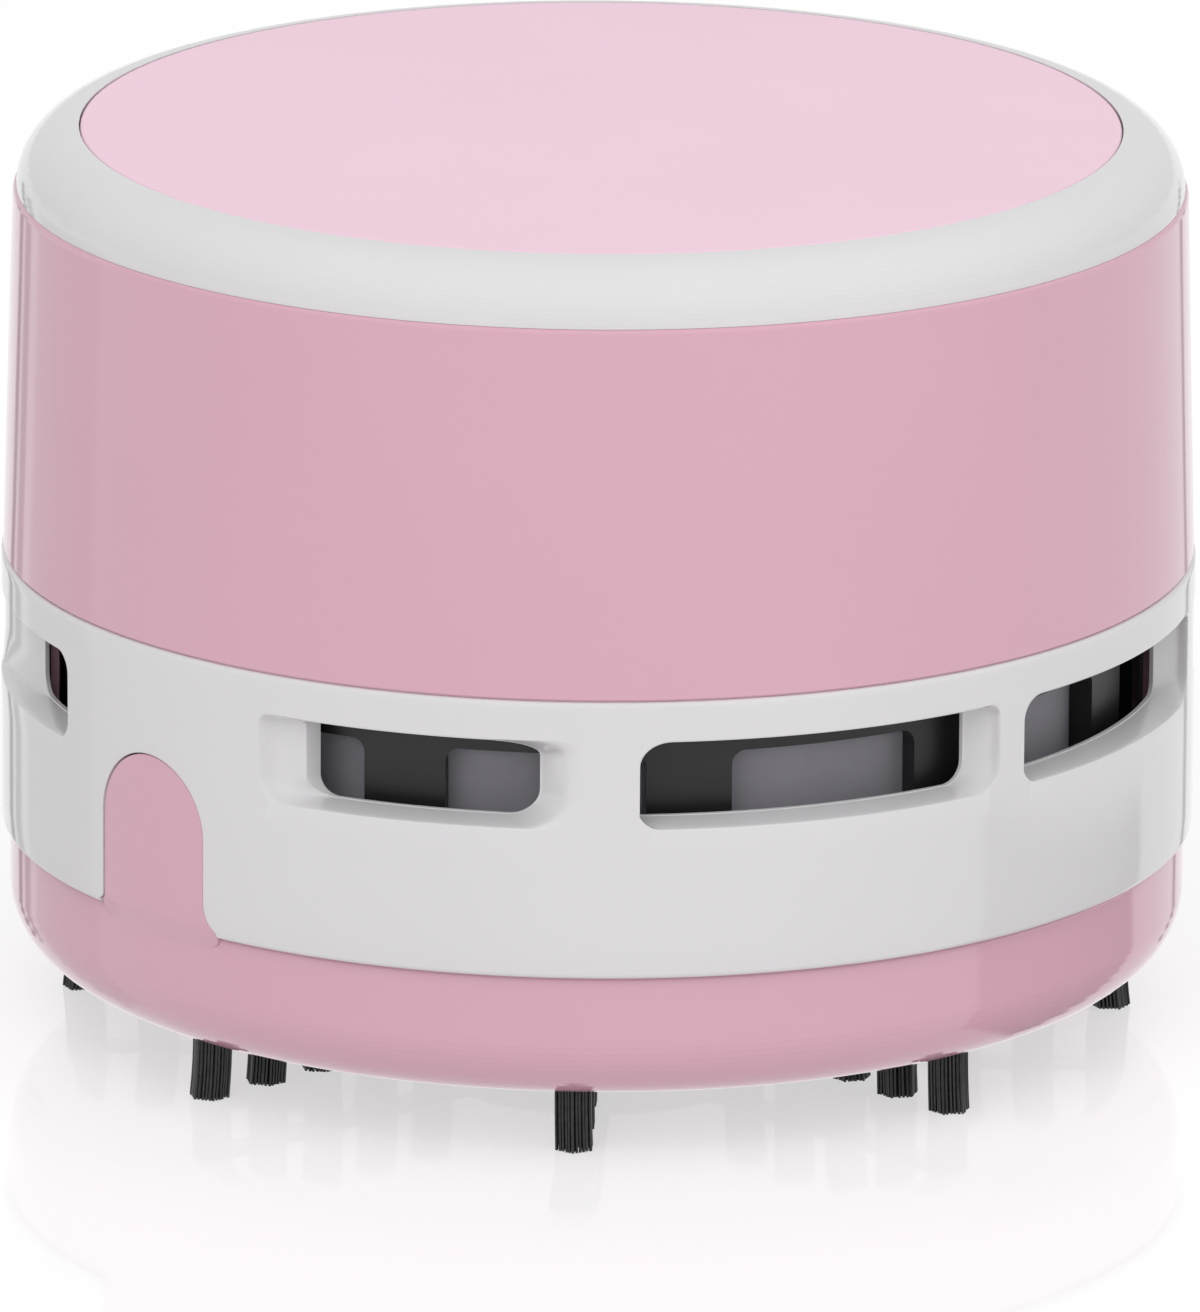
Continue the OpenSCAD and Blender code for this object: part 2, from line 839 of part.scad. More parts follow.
module cell(side) {
    turn = side > 0 ? 0 : 180;
    color(side > 0 ? steel : grey)
        translate([side * cell_x, 0, cell_z])
            rotate(turn)
                rotate([90, 0, 0])
                    rotate_extrude()
                        polygon([
                            [0, -(cell_l + button_h) / 2],
                            [button_r, -(cell_l + button_h) / 2],
                            [button_r, button_h - (cell_l + button_h) / 2],
                            [cell_r - edge_r, button_h - (cell_l + button_h) / 2],
                            [cell_r, button_h + edge_r - (cell_l + button_h) / 2],
                            [cell_r, (cell_l + button_h) / 2 - edge_r],
                            [cell_r - edge_r, (cell_l + button_h) / 2],
                            [0, (cell_l + button_h) / 2]
                        ]);
}

module battery_holder() {
    opening_x = can_flat / 2 + collar_wall + 2 * seat;
    opening_y = can_d / 2 + collar_wall + 2 * seat;
    color(black)
        difference() {
            translate([-holder_x, -holder_y, z_ears])
                linear_extrude(holder_h) round_rect(2 * holder_x, 2 * holder_y, 3);
            for (side = [-1, 1])
                translate([side * cell_x, 0, cell_z])
                    rotate([90, 0, 0])
                        cylinder(h = 2 * pocket_y, r = cell_r + seat, center = true);
            translate([-opening_x, -opening_y, z_ears - 1])
                cube([2 * opening_x, 2 * opening_y, holder_h + 2]);
        }
}

// A contact strip stands at the end of the trough and is pressed out towards the cell
module contact(side, end) {
    bump = pocket_d - contact_t - gap;
    translate([side * cell_x, end * contact_y, cell_z])
        rotate(end > 0 ? 0 : 180) {
            translate([-contact_w / 2, 0, -cell_r / 2])
                cube([contact_w, contact_t, cell_r / 2 + holder_h - cell_z + z_ears + strip_rise]);
            rotate([90, 0, 0])
                rotate_extrude()
                    polygon([[0, -contact_t / 2], [contact_w / 2.5, -contact_t / 2],
                        [button_r / 2, bump], [0, bump]]);
        }
}

module battery_contacts() {
    color(brass)
        for (side = [-1, 1], end = [-1, 1])
            contact(side, end);
}

module switch_body() {
    color(black)
        difference() {
            translate([-switch_w / 2, switch_y - switch_d, switch_z - switch_h / 2])
                cube([switch_w, switch_d, switch_h]);
            translate([-stem_w / 2 - switch_travel / 2 - gap, switch_y - switch_d / 2,
                switch_z - stem_w / 2 - gap])
                cube([stem_w + switch_travel + 2 * gap, switch_d, stem_w + 2 * gap]);
        }
}

module switch_knob() {
    rib = 0.3;
    rib_count = 4;
    stem_end = switch_y - switch_d / 2 + gap;
    pad_y = recess_y + seat;
    color(white)
        translate([knob_rest, 0, switch_z])
            union() {
                translate([-knob_w / 2, pad_y, -knob_h / 2])
                    cube([knob_w, knob_t - rib, knob_h]);
                for (k = [0:rib_count - 1])
                    translate([(k - (rib_count - 1) / 2) * 3 * rib * 1.5 - rib, pad_y, -knob_h / 2 + rib])
                        cube([2 * rib, knob_t, knob_h - 2 * rib]);
                translate([-stem_w / 2, stem_end, -stem_w / 2])
                    cube([stem_w, pad_y + tiny - stem_end, stem_w]);
            }
}

// ---- leads ----

lead_r = 0.6;
lead_sides = 8;
lead_steps = 6;

// A point of a smooth curve through four neighbours
function blend_point(p, q, r, s, t) =
    0.5 * (2 * q + (r - p) * t + (2 * p - 5 * q + 4 * r - s) * t * t
        + (3 * q - p - 3 * r + s) * t * t * t);

function smooth(path) =
    let (last = len(path) - 1)
    concat(
        [for (i = [0:last - 1]) for (n = [0:lead_steps - 1])
            blend_point(path[max(i - 1, 0)], path[i], path[i + 1], path[min(i + 2, last)],
                n / lead_steps)],
        [path[last]]
    );

function lead_ring(c, dir, side) =
    let (across = unit(cross(dir, side)), up = cross(dir, across))
    [for (k = [0:lead_sides - 1])
        let (a = k * 360 / lead_sides)
        c + lead_r * (cos(a) * across + sin(a) * up)];

module lead(path, side) {
    line = smooth(path);
    last = len(line) - 1;
    points = [for (i = [0:last])
        each lead_ring(line[i], unit(line[min(i + 1, last)] - line[max(i - 1, 0)]), side)];
    n = lead_sides;
    faces = concat(
        [for (k = [1:n - 2]) [0, k, k + 1]],
        [for (k = [1:n - 2]) [last * n, last * n + k + 1, last * n + k]],
        [for (i = [0:last - 1]) for (k = [0:n - 1])
            let (j = (k + 1) % n) each [
                [i * n + k, (i + 1) * n + k, (i + 1) * n + j],
                [i * n + k, (i + 1) * n + j, i * n + j]
            ]]
    );
    polyhedron(points, faces);
}

lead_z = z_ears + holder_h + 1;
strip_back_y = pocket_y + lead_r;
switch_back_y = switch_y - switch_d - lead_r;
lead_over_z = motor_top + terminal_h / 2;
lead_over_y = terminal_y + terminal_t / 2 + lead_r;

module red_leads() {
    color(red) {
        lead([
            [cell_x - 4, strip_back_y + 0.2, lead_z],
            [cell_x - 6, strip_back_y + 1.2, lead_z + 1],
            [cell_x - 9, switch_back_y - 2, switch_z - 3],
            [cell_x - 12, switch_back_y - 0.5, switch_z],
            [2, switch_back_y, switch_z]
        ], [0, 0.2, 1]);
        lead([
            [-3, switch_back_y, switch_z + 1],
            [-3, switch_back_y - 3, switch_z + 4],
            [-2, (switch_back_y + lead_over_y) / 2, lead_over_z],
            [-0.5, lead_over_y + 4, lead_over_z + 0.3],
            [0, lead_over_y - lead_r + 0.1, lead_over_z]
        ], [1, 0, 0]);
    }
}

module black_lead() {
    color(black)
        lead([
            [4 - cell_x, -strip_back_y - 0.2, lead_z],
            [5 - cell_x, -strip_back_y - 1.5, lead_z + 3],
            [8 - cell_x, -strip_back_y, lead_over_z - 4],
            [-3, -lead_over_y - 8, lead_over_z - 0.5],
            [-0.5, -lead_over_y - 3, lead_over_z + 0.3],
            [0, lead_r - 0.1 - lead_over_y, lead_over_z]
        ], [1, 0.2, 0]);
}

// ---- lid ----

module cap_ring() {
    skirt_r = drum_top_r - wall - gap;
    plate_z = z_top - disc_t - cap_plate_t;
    color(white)
        rotate_extrude()
            polygon(concat(
                [[0, plate_z]],
                [[skirt_r - wall, plate_z], [skirt_r - wall, z_cap - skirt_h]],
                [[skirt_r, z_cap - skirt_h], [skirt_r, z_cap], [cap_r, z_cap]],
                arc(disc_seat_r, z_cap, shoulder_w, cap_h, 0, 90, 20),
                [[disc_seat_r, z_top - disc_t], [0, z_top - disc_t]]
            ));
}

module top_disc() {
    r = disc_seat_r - seat;
    bevel = edge_r / 2;
    color(pale_pink)
        rotate_extrude()
            polygon(concat(
                [[0, z_top - disc_t], [r, z_top - disc_t]],
                arc(r - bevel, z_top - bevel, bevel, bevel, 0, 90, 4),
                [[0, z_top]]
            ));
}

dust_tray();
intake_nozzle();
brush_row(1);  // brush_row_1
brush_row(2);  // brush_row_2
brush_row(3);  // brush_row_3
brush_row(4);  // brush_row_4
brush_row(5);  // brush_row_5
brush_row(6);  // brush_row_6
brush_row(7);  // brush_row_7
brush_row(8);  // brush_row_8
filter_frame();
filter_mesh();
filter_seal();
latch_left();
latch_right();
exhaust_ring();
drum_shell();
motor_deck();
deck_screws();
motor_can();
motor_end_cap();
motor_terminals();
noise_capacitor();
battery_holder();
cell(-1);  // cell_left
cell(1);  // cell_right
battery_contacts();
switch_body();
red_leads();
black_lead();
motor_shaft();
impeller();
switch_knob();
cap_ring();
top_disc();
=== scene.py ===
import math
import random

import bmesh
import bpy
from mathutils import Matrix, Vector

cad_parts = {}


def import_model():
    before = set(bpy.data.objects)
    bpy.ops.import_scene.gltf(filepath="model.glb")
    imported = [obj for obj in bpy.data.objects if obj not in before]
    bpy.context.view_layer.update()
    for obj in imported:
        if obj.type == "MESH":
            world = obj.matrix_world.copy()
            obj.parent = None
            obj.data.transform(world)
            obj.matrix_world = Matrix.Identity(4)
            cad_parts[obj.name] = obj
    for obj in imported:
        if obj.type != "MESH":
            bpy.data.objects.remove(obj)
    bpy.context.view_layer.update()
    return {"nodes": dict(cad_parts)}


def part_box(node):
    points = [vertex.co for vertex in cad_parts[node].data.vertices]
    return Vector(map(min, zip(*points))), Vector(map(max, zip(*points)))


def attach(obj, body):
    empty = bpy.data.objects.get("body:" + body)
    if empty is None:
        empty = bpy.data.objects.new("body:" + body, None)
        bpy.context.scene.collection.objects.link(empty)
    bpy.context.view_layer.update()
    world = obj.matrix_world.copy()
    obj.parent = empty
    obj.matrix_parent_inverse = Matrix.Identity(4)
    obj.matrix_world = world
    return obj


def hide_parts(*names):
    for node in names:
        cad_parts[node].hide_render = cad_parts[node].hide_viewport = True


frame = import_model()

MM = 0.001
scene = bpy.context.scene
scene.view_settings.view_transform = "Standard"

# ---------------------------------------------------------------- sizes, in millimetres
RING_LOW, RING_HIGH = (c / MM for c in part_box("exhaust_ring"))
TRAY_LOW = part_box("dust_tray")[0] / MM
BODY_R = RING_HIGH.y
Z_SEAM = RING_LOW.z
Z_DRUM = RING_HIGH.z
Z_TRAY = TRAY_LOW.z
TRAY_R = -TRAY_LOW.y
RING_WALL = 2.7
RING_IN_R = BODY_R - RING_WALL

# Rounding of the ring's top and foot
EDGE_R = 0.4
EDGE_STEPS = 5

# Slots: heights of the opening and of the dish round it, and the rounding of its rim
SLOT_LOW = Z_SEAM + 11.35
SLOT_HIGH = Z_SEAM + 17.3
DISH_LOW = Z_SEAM + 10.9
DISH_HIGH = SLOT_HIGH + 0.13
RIM_R = 0.05

# Depths of a dish: where it is deepest, where its end is shallower, and at a crisp lip
DEEP = 2.35
SHALLOW = 1.4
CRISP = 0.03

# Rows from a dish's edge to its opening, closer together near the edge
DISH_STEPS = 16
DISH_CROWDING = 1.4

# Screw ears inside the ring's top edge, sunk a little into its wall
SCREW_CIRCLE_R = 33.5
SCREW_HOLE_R = 1.25
EAR_R = 2.8
EAR_T = 1
EAR_SINK = 0.3
EAR_STEPS = 24

# Latch tabs and their notches
LATCH_HALF = 5.3
LATCH_GAP = 0.1
LATCH_ARC_Z = Z_SEAM + 6.9
NOTCH_RIM_R = 0.06

# How the left and the right side of a latch's foot flare out: width and height
LEFT_FLARE = (0.5, 0.5)
RIGHT_FLARE = (1.2 * 1.35, 2.1)
FLARE_TURN = 75
FLARE_STEPS = 6

# A latch's face, its thickness and the rounding of its edge
LATCH_INSET = 0.1
LATCH_T = 2
LATCH_EDGE_R = 0.1
LATCH_FACE_STEPS = 10
LATCH_BACK_STEPS = 4
# The lowest height above the seam on which the rows of its face and back close in
LATCH_MIDDLE = 0.4

# Under a latch: the rounding of the tray's edge that it steps over, how far it stays clear of
# the tray there and at its back, how near to a step's height counts as on the step, and how
# far before the back its sides step in
TRAY_EDGE_R = 0.35
LATCH_CLEAR = 0.02
LATCH_BACK_CLEAR = 0.05
LATCH_NEAR = 0.02
LATCH_SHOULDER = 1.2

# The skirt that a latch rolls down onto the tray. Its border lies just under the tray's skin,
# so that it shows no line.
SKIRT_DROP = 1.5
SKIRT_TOP = 0.9
SKIRT_SINK = 0.03
SKIRT_STEPS = 16

# Points closer together than this are joined
WELD = 0.002


# ---------------------------------------------------------------- helpers

def piece(name, mesh, body, material, nodes):
    """Makes a mesh into a piece that rides on a body and stands for CAD nodes."""
    made = bpy.data.objects.new(name, mesh)
    scene.collection.objects.link(made)
    mesh.materials.clear()
    mesh.materials.append(material)
    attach(made, body)
    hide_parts(*nodes)


def smooth(mesh, angle):
    """Smooth shading, with edges sharper than the angle kept crisp."""
    mesh.polygons.foreach_set("use_smooth", [True] * len(mesh.polygons))
    mesh.set_sharp_from_angle(angle=math.radians(angle))
    mesh.update()
    return mesh


def finish_bmesh(bm, name, angle, weld=True):
    """Makes the finished work into a smooth mesh."""
    if weld:
        bmesh.ops.remove_doubles(bm, verts=bm.verts, dist=WELD * MM)
    bmesh.ops.recalc_face_normals(bm, faces=bm.faces)
    mesh = bpy.data.meshes.new(name)
    bm.to_mesh(mesh)
    bm.free()
    return smooth(mesh, angle)


def bridge(bm, loops, closed):
    """Quads between neighbouring loops of points in millimetres."""
    rows = [[bm.verts.new(Vector(p) * MM) for p in loop] for loop in loops]
    for a, b in zip(rows, rows[1:]):
        n = len(a)
        for i in range(n if closed else n - 1):
            j = (i + 1) % n
            bm.faces.new((a[i], a[j], b[j], b[i]))
    return rows


def lathe(name, profile, segments, angle):
    """Turns a closed profile of (radius, height) points about the axis."""
    bm = bmesh.new()
    points = profile + [profile[0]]
    loops = []
    for k in range(segments):
        a = 2 * math.pi * k / segments
        loops.append([(r * math.cos(a), r * math.sin(a), z) for r, z in points])
    loops.append(loops[0])
    bridge(bm, loops, closed=False)
    return finish_bmesh(bm, name, angle)


def arc(cx, cy, rx, ry, start, end, steps):
    """Points of an elliptic arc between two angles in degrees."""
    turns = [math.radians(start + (end - start) * i / steps) for i in range(steps + 1)]
    return [(cx + rx * math.cos(a), cy + ry * math.sin(a)) for a in turns]


def mix(a, b, t):
    return a + (b - a) * t


def smoothstep(low, high, x):
    t = min(max((x - low) / (high - low), 0), 1)
    return t * t * (3 - 2 * t)


# ---------------------------------------------------------------- materials

# Where the two shades of a tint stand on the scale of its noise
TINT_SPAN = (0.3, 0.7)

# Noise scales: the cloud of tone and the uneven gloss of plastic, the lines and the cloud of
# metal, the strands' tone and skin, the cloth's cloud and the foam's cells
TONE_SCALE = 35
GLOSS_SCALE = 120
LINE_SCALE = 900
METAL_SCALE = 60
STRAND_TONE_SCALE = 2500
STRAND_SKIN_SCALE = 5000
CLOTH_SCALE = 90
FOAM_SCALE = 2400

# How far the roughness of plastic and of metal strays to either side
PLASTIC_SPREAD = 0.03
METAL_SPREAD = 0.08

# Threads of the filter cloth: their number round the axis, and their pitch up it in millimetres
THREADS_ROUND = 1600
THREAD_PITCH = 0.15
# How much of the cloth's change of tone is its cloud, beside the weave
CLOUD_SHARE = 0.7


def base_material(name, color, roughness, **sockets):
    """A named material, its nodes and links, and its Principled shader."""
    made = bpy.data.materials.new(name)
    made.use_nodes = True
    tree = made.node_tree
    shader = tree.nodes["Principled BSDF"]
    shader.inputs["Base Color"].default_value = (*color, 1)
    shader.inputs["Roughness"].default_value = roughness
    for socket, value in sockets.items():
        shader.inputs[socket.replace("_", " ")].default_value = value
    return made, tree, shader


def math_of(tree, kind, *inputs):
    """A Math node on numbers and on other nodes' outputs."""
    node = tree.nodes.new("ShaderNodeMath")
    node.operation = kind
    for socket, value in zip(node.inputs, inputs):
        if isinstance(value, (int, float)):
            socket.default_value = value
        else:
            tree.links.new(value, socket)
    return node.outputs["Value"]


def noise(tree, scale, detail=2):
    coordinates = tree.nodes.new("ShaderNodeTexCoord")
    made = tree.nodes.new("ShaderNodeTexNoise")
    made.inputs["Scale"].default_value = scale
    made.inputs["Detail"].default_value = detail
    tree.links.new(coordinates.outputs["Object"], made.inputs["Vector"])
    return made.outputs["Fac"]


def tint(tree, shader, factor, color, dark, light):
    """Varies the colour between a darker and a lighter share of it."""
    ramp = tree.nodes.new("ShaderNodeValToRGB")
    for stop, place, share in zip(ramp.color_ramp.elements, TINT_SPAN, (dark, light)):
        stop.position = place
        stop.color = (*(c * share for c in color), 1)
    tree.links.new(factor, ramp.inputs["Fac"])
    tree.links.new(ramp.outputs["Color"], shader.inputs["Base Color"])


def rough(tree, shader, factor, roughness, spread):
    """Varies the roughness by a spread to either side."""
    span = tree.nodes.new("ShaderNodeMapRange")
    span.inputs["To Min"].default_value = roughness - spread
    span.inputs["To Max"].default_value = roughness + spread
    tree.links.new(factor, span.inputs["Value"])
    tree.links.new(span.outputs["Result"], shader.inputs["Roughness"])


def bump(tree, shader, factor, depth_mm):
    made = tree.nodes.new("ShaderNodeBump")
    made.inputs["Strength"].default_value = 1.0
    made.inputs["Distance"].default_value = depth_mm * MM
    tree.links.new(factor, made.inputs["Height"])
    tree.links.new(made.outputs["Normal"], shader.inputs["Normal"])


def plastic(name, color, roughness, grain=900, depth=0.002, **sockets):
    """Moulded plastic: a slight cloud of tone, uneven gloss and a fine skin."""
    made, tree, shader = base_material(name, color, roughness, **sockets)
    tint(tree, shader, noise(tree, TONE_SCALE), color, 0.985, 1.015)
    rough(tree, shader, noise(tree, GLOSS_SCALE, 4), roughness, PLASTIC_SPREAD)
    bump(tree, shader, noise(tree, grain, 3), depth)
    return made


PINK = (0.676, 0.385, 0.475)
PINK_DISC = (0.88, 0.605, 0.725)
WHITE = (0.70, 0.69, 0.70)

pink_gloss = plastic("pink_gloss", PINK, 0.1, Coat_Weight=0.3, Coat_Roughness=0.02)
white_gloss = plastic("white_gloss", WHITE, 0.1, Coat_Weight=0.3, Coat_Roughness=0.02)
pink_satin = plastic("pink_satin", PINK_DISC, 0.42, grain=2600, depth=0.004)
clear_plastic = plastic("clear_plastic", (0.80, 0.81, 0.82), 0.2, Transmission_Weight=0.6)
black_plastic = plastic("black_plastic", (0.012, 0.012, 0.013), 0.42, grain=2200, depth=0.01)
impeller_plastic = plastic("impeller_plastic", (0.02, 0.02, 0.024), 0.3)
nylon = plastic("nylon", (0.72, 0.70, 0.66), 0.45, grain=1800, depth=0.006)
capacitor = plastic("capacitor", (0.50, 0.20, 0.06), 0.35, grain=1500, depth=0.01)
cell_sleeve = plastic("cell_sleeve", (0.10, 0.12, 0.15), 0.22, grain=500, depth=0.004)
red_sleeve = plastic("red_sleeve", (0.50, 0.03, 0.02), 0.4, grain=1500, depth=0.006)
black_sleeve = plastic("black_sleeve", (0.015, 0.015, 0.015), 0.4, grain=1500, depth=0.006)


def metal(name, color, roughness, stretch):
    """Plated metal with fine lines along one direction."""
    made, tree, shader = base_material(name, color, roughness, Metallic=1.0)
    coordinates = tree.nodes.new("ShaderNodeTexCoord")
    mapping = tree.nodes.new("ShaderNodeMapping")
    mapping.inputs["Scale"].default_value = stretch
    lines = tree.nodes.new("ShaderNodeTexNoise")
    lines.inputs["Scale"].default_value = LINE_SCALE
    tree.links.new(coordinates.outputs["Object"], mapping.inputs["Vector"])
    tree.links.new(mapping.outputs["Vector"], lines.inputs["Vector"])
    rough(tree, shader, lines.outputs["Fac"], roughness, METAL_SPREAD)
    bump(tree, shader, lines.outputs["Fac"], 0.002)
    tint(tree, shader, noise(tree, METAL_SCALE), color, 0.93, 1)
    return made


steel = metal("steel", (0.56, 0.56, 0.58), 0.3, (1, 1, 0.1))
brass = metal("brass", (0.72, 0.55, 0.26), 0.32, (1, 0.1, 1))


def strand_material():
    """Nylon strands: black, with a slow change of tone from strand to strand."""
    color = (0.012, 0.012, 0.013)
    made, tree, shader = base_material("bristle", color, 0.38)
    tint(tree, shader, noise(tree, STRAND_TONE_SCALE), color, 0.6, 2.2)
    bump(tree, shader, noise(tree, STRAND_SKIN_SCALE), 0.01)
    return made


def cloth_material():
    """A fine square weave, wound round the axis."""
    color = (0.34, 0.33, 0.37)
    made, tree, shader = base_material("filter_cloth", color, 0.75, Sheen_Weight=0.2)
    coordinates = tree.nodes.new("ShaderNodeTexCoord")
    separate = tree.nodes.new("ShaderNodeSeparateXYZ")
    tree.links.new(coordinates.outputs["Object"], separate.inputs["Vector"])

    turn = math_of(tree, "ARCTAN2", separate.outputs["Y"], separate.outputs["X"])
    across = math_of(tree, "SINE", math_of(tree, "MULTIPLY", turn, THREADS_ROUND))
    climb = math_of(tree, "MULTIPLY", separate.outputs["Z"], 2 * math.pi / (THREAD_PITCH * MM))
    weave = math_of(tree, "MULTIPLY", across, math_of(tree, "SINE", climb))
    height = math_of(tree, "MULTIPLY_ADD", weave, 0.5, 0.5)
    cloud = math_of(tree, "MULTIPLY", noise(tree, CLOTH_SCALE, 4), CLOUD_SHARE)
    total = math_of(tree, "MULTIPLY_ADD", height, 1 - CLOUD_SHARE, cloud)
    tint(tree, shader, total, color, 0.88, 1.12)
    bump(tree, shader, height, 0.02)
    return made


def foam_material():
    """Black foam with open cells."""
    color = (0.02, 0.02, 0.02)
    made, tree, shader = base_material("foam", color, 0.9, Sheen_Weight=0.3)
    tint(tree, shader, noise(tree, FOAM_SCALE, 4), color, 0.5, 1.8)
    bump(tree, shader, noise(tree, FOAM_SCALE, 4), 0.12)
    return made


bristle = strand_material()
filter_cloth = cloth_material()
foam = foam_material()


# ---------------------------------------------------------------- the exhaust ring

SIDE_STEPS = 24
TOP_STEPS = 52
CORNER_STEPS = 6
RIM_STEPS = 4
SLOT_WALL_STEPS = (6, 3)
NOTCH_WALL_STEPS = (8, 4)
CELL_LOW = Z_SEAM + EDGE_R
CELL_HIGH = Z_DRUM - EDGE_R

# Profiles of the ring's top and foot, from the outer wall round the edge to the inner wall
TOP_EDGE = arc(BODY_R - EDGE_R, CELL_HIGH, EDGE_R, EDGE_R, 0, 90, EDGE_STEPS)
TOP_EDGE += [(RING_IN_R, Z_DRUM), (RING_IN_R, CELL_HIGH)]
FOOT_EDGE = arc(BODY_R - EDGE_R, CELL_LOW, EDGE_R, EDGE_R, 0, -90, EDGE_STEPS)
FOOT_EDGE += [(RING_IN_R, Z_SEAM), (RING_IN_R, CELL_LOW)]

# How far from a wall's radius a point may lie and still be taken as on it
ON_WALL = 0.005


def spread(start, end, steps):
    return [mix(start, end, i / steps) for i in range(steps)]


def round_loop(x0, x1, z0, z1, corners):
    """A closed loop round a rectangle, as (x, z, way out), with a radius for each corner."""
    foot_left, foot_right, top_right, top_left = corners
    half, whole = CORNER_STEPS, 2 * CORNER_STEPS
    across, up = TOP_STEPS - whole, SIDE_STEPS - whole

    def corner(x, z, r, start, end, steps):
        turns = spread(start, end, steps)
        return [(x + r * math.cos(math.radians(a)), z + r * math.sin(math.radians(a)), a)
                for a in turns]

    loop = corner(x0 + foot_left, z0 + foot_left, foot_left, 225, 270, half)
    loop += [(x, z0, 270) for x in spread(x0 + foot_left, x1 - foot_right, across)]
    loop += corner(x1 - foot_right, z0 + foot_right, foot_right, 270, 360, whole)
    loop += [(x1, z, 360) for z in spread(z0 + foot_right, z1 - top_right, up)]
    loop += corner(x1 - top_right, z1 - top_right, top_right, 360, 450, whole)
    loop += [(x, z1, 450) for x in spread(x1 - top_right, x0 + top_left, across)]
    loop += corner(x0 + top_left, z1 - top_left, top_left, 450, 540, whole)
    loop += [(x0, z, 540) for z in spread(z1 - top_left, z0 + foot_left, up)]
    loop += corner(x0 + foot_left, z0 + foot_left, foot_left, 540, 585, half)
    return loop


def by_side(way, foot, right, top, left):
    """A value for each side of a loop, eased from side to side within the corners."""
    values = (foot, right, top, left, foot)
    place = ((way - 270) % 360) / 90
    side = min(int(place), 3)
    return mix(values[side], values[side + 1], smoothstep(0, 1, place - side))


def cell_loop(turn_0, turn_1):
    """The border of a cell of the ring's wall, as (angle, height), in the same order."""
    bottom = [(a, CELL_LOW) for a in spread(turn_0, turn_1, TOP_STEPS)]
    right = [(turn_1, z) for z in spread(CELL_LOW, CELL_HIGH, SIDE_STEPS)]
    top = [(a, CELL_HIGH) for a in spread(turn_1, turn_0, TOP_STEPS)]
    left = [(turn_0, z) for z in spread(CELL_HIGH, CELL_LOW, SIDE_STEPS)]
    return bottom + right + top + left


def on_ring(facing, radius, turn, z):
    """The point at an angle from a pull direction."""
    a = math.radians(facing) + turn
    return (radius * math.cos(a), radius * math.sin(a), z)


def pulled(facing, radius, x, z):
    """The point of a cylinder at a distance across the pull direction."""
    return on_ring(facing, radius, math.asin(x / radius), z)


def wall_rows(border, rim, facing, radius, steps):
    """Rows of the wall from the rim of a hole out to the border of its cell."""
    rows = []
    rim_turns = [(math.asin(p[0] / radius), p[1]) for p in rim]
    for k in range(steps + 1):
        t = k / steps
        rows.append([
            on_ring(facing, radius, mix(p[0], q[0], t), mix(p[1], q[1], t))
            for p, q in zip(rim_turns, border)
        ])
    return rows


def edge_band(bm, facing, turns, profile):
    """The ring's rounded top or foot over a stretch of angles."""
    bridge(bm, [[on_ring(facing, r, a, z) for a in turns] for r, z in profile], closed=False)


def rim_rounding(first=1):
    """The steps round a rim: how far out and how far down each one is, from 0 to 1."""
    for k in range(first, RIM_STEPS + 1):
        a = math.pi / 2 * k / RIM_STEPS
        yield 1 - math.sin(a), 1 - math.cos(a)


def sill_fall(t):
    """A soft outer edge, then a straight slope."""
    edge = 0.35
    fall = t * t / (2 * edge) if t < edge else t - edge / 2
    return fall / (1 - edge / 2)


def end_fall(t):
    """A steep outer wall, then a nearly level floor."""
    bend = 0.008
    return (1 + bend) * t * t / (t * t + bend)


def slot_cell(bm, facing, turns, shape):
    """One slot in its dished recess, with the wall round it, through to the inside.
    Each of the shape's depths, walls and corners is given from the foot or its left end."""
    opening, dish, depths, walls, rim_corners, dish_corners = shape
    rim = round_loop(*opening, SLOT_LOW, SLOT_HIGH, rim_corners)
    lip = [(x + RIM_R * math.cos(math.radians(a)), z + RIM_R * math.sin(math.radians(a)), a)
           for x, z, a in rim]
    bowl = round_loop(*dish, DISH_LOW, DISH_HIGH, dish_corners)
    border = cell_loop(*turns)
    depth = [by_side(a, *depths) for _, _, a in lip]
    steep = [by_side(a, *walls) for _, _, a in bowl]

    outer_steps, inner_steps = SLOT_WALL_STEPS
    rows = wall_rows(border, bowl, facing, BODY_R, outer_steps)[::-1]
    for k in range(1, DISH_STEPS + 1):
        t = (k / DISH_STEPS) ** DISH_CROWDING
        rows.append([
            pulled(facing, BODY_R - d * mix(sill_fall(t), end_fall(t), s),
                   mix(b[0], p[0], t), mix(b[1], p[1], t))
            for b, p, d, s in zip(bowl, lip, depth, steep)
        ])
    for out, down in rim_rounding():
        rows.append([
            pulled(facing, BODY_R - d - RIM_R * down,
                   mix(q[0], p[0], out), mix(q[1], p[1], out))
            for q, p, d in zip(rim, lip, depth)
        ])
    rows.append([pulled(facing, RING_IN_R, x, z) for x, z, _ in rim])
    rows += wall_rows(border, rim, facing, RING_IN_R, inner_steps)[1:]
    bridge(bm, rows, closed=True)
    for profile in (TOP_EDGE, FOOT_EDGE):
        edge_band(bm, facing, spread(*turns, TOP_STEPS) + [turns[1]], profile)


def arch_loop(margin):
    """The latch's outline, from its left foot over the round top to its right foot."""
    half = LATCH_HALF + margin
    sides = []
    for wide, high in (LEFT_FLARE, RIGHT_FLARE):
        centre_z = CELL_LOW + high
        flare = arc(-half - wide, centre_z, wide, high, -FLARE_TURN, 0, FLARE_STEPS)
        flare[0] = (flare[0][0], CELL_LOW)
        flare[-1] = (-half, centre_z)
        straight = spread(centre_z, LATCH_ARC_Z, SIDE_STEPS - FLARE_STEPS)[1:]
        sides.append(flare + [(-half, z) for z in straight])
    over = arc(0, LATCH_ARC_Z, half, half, 180, 0, TOP_STEPS)
    return sides[0] + over + [(-x, z) for x, z in sides[1][::-1]]


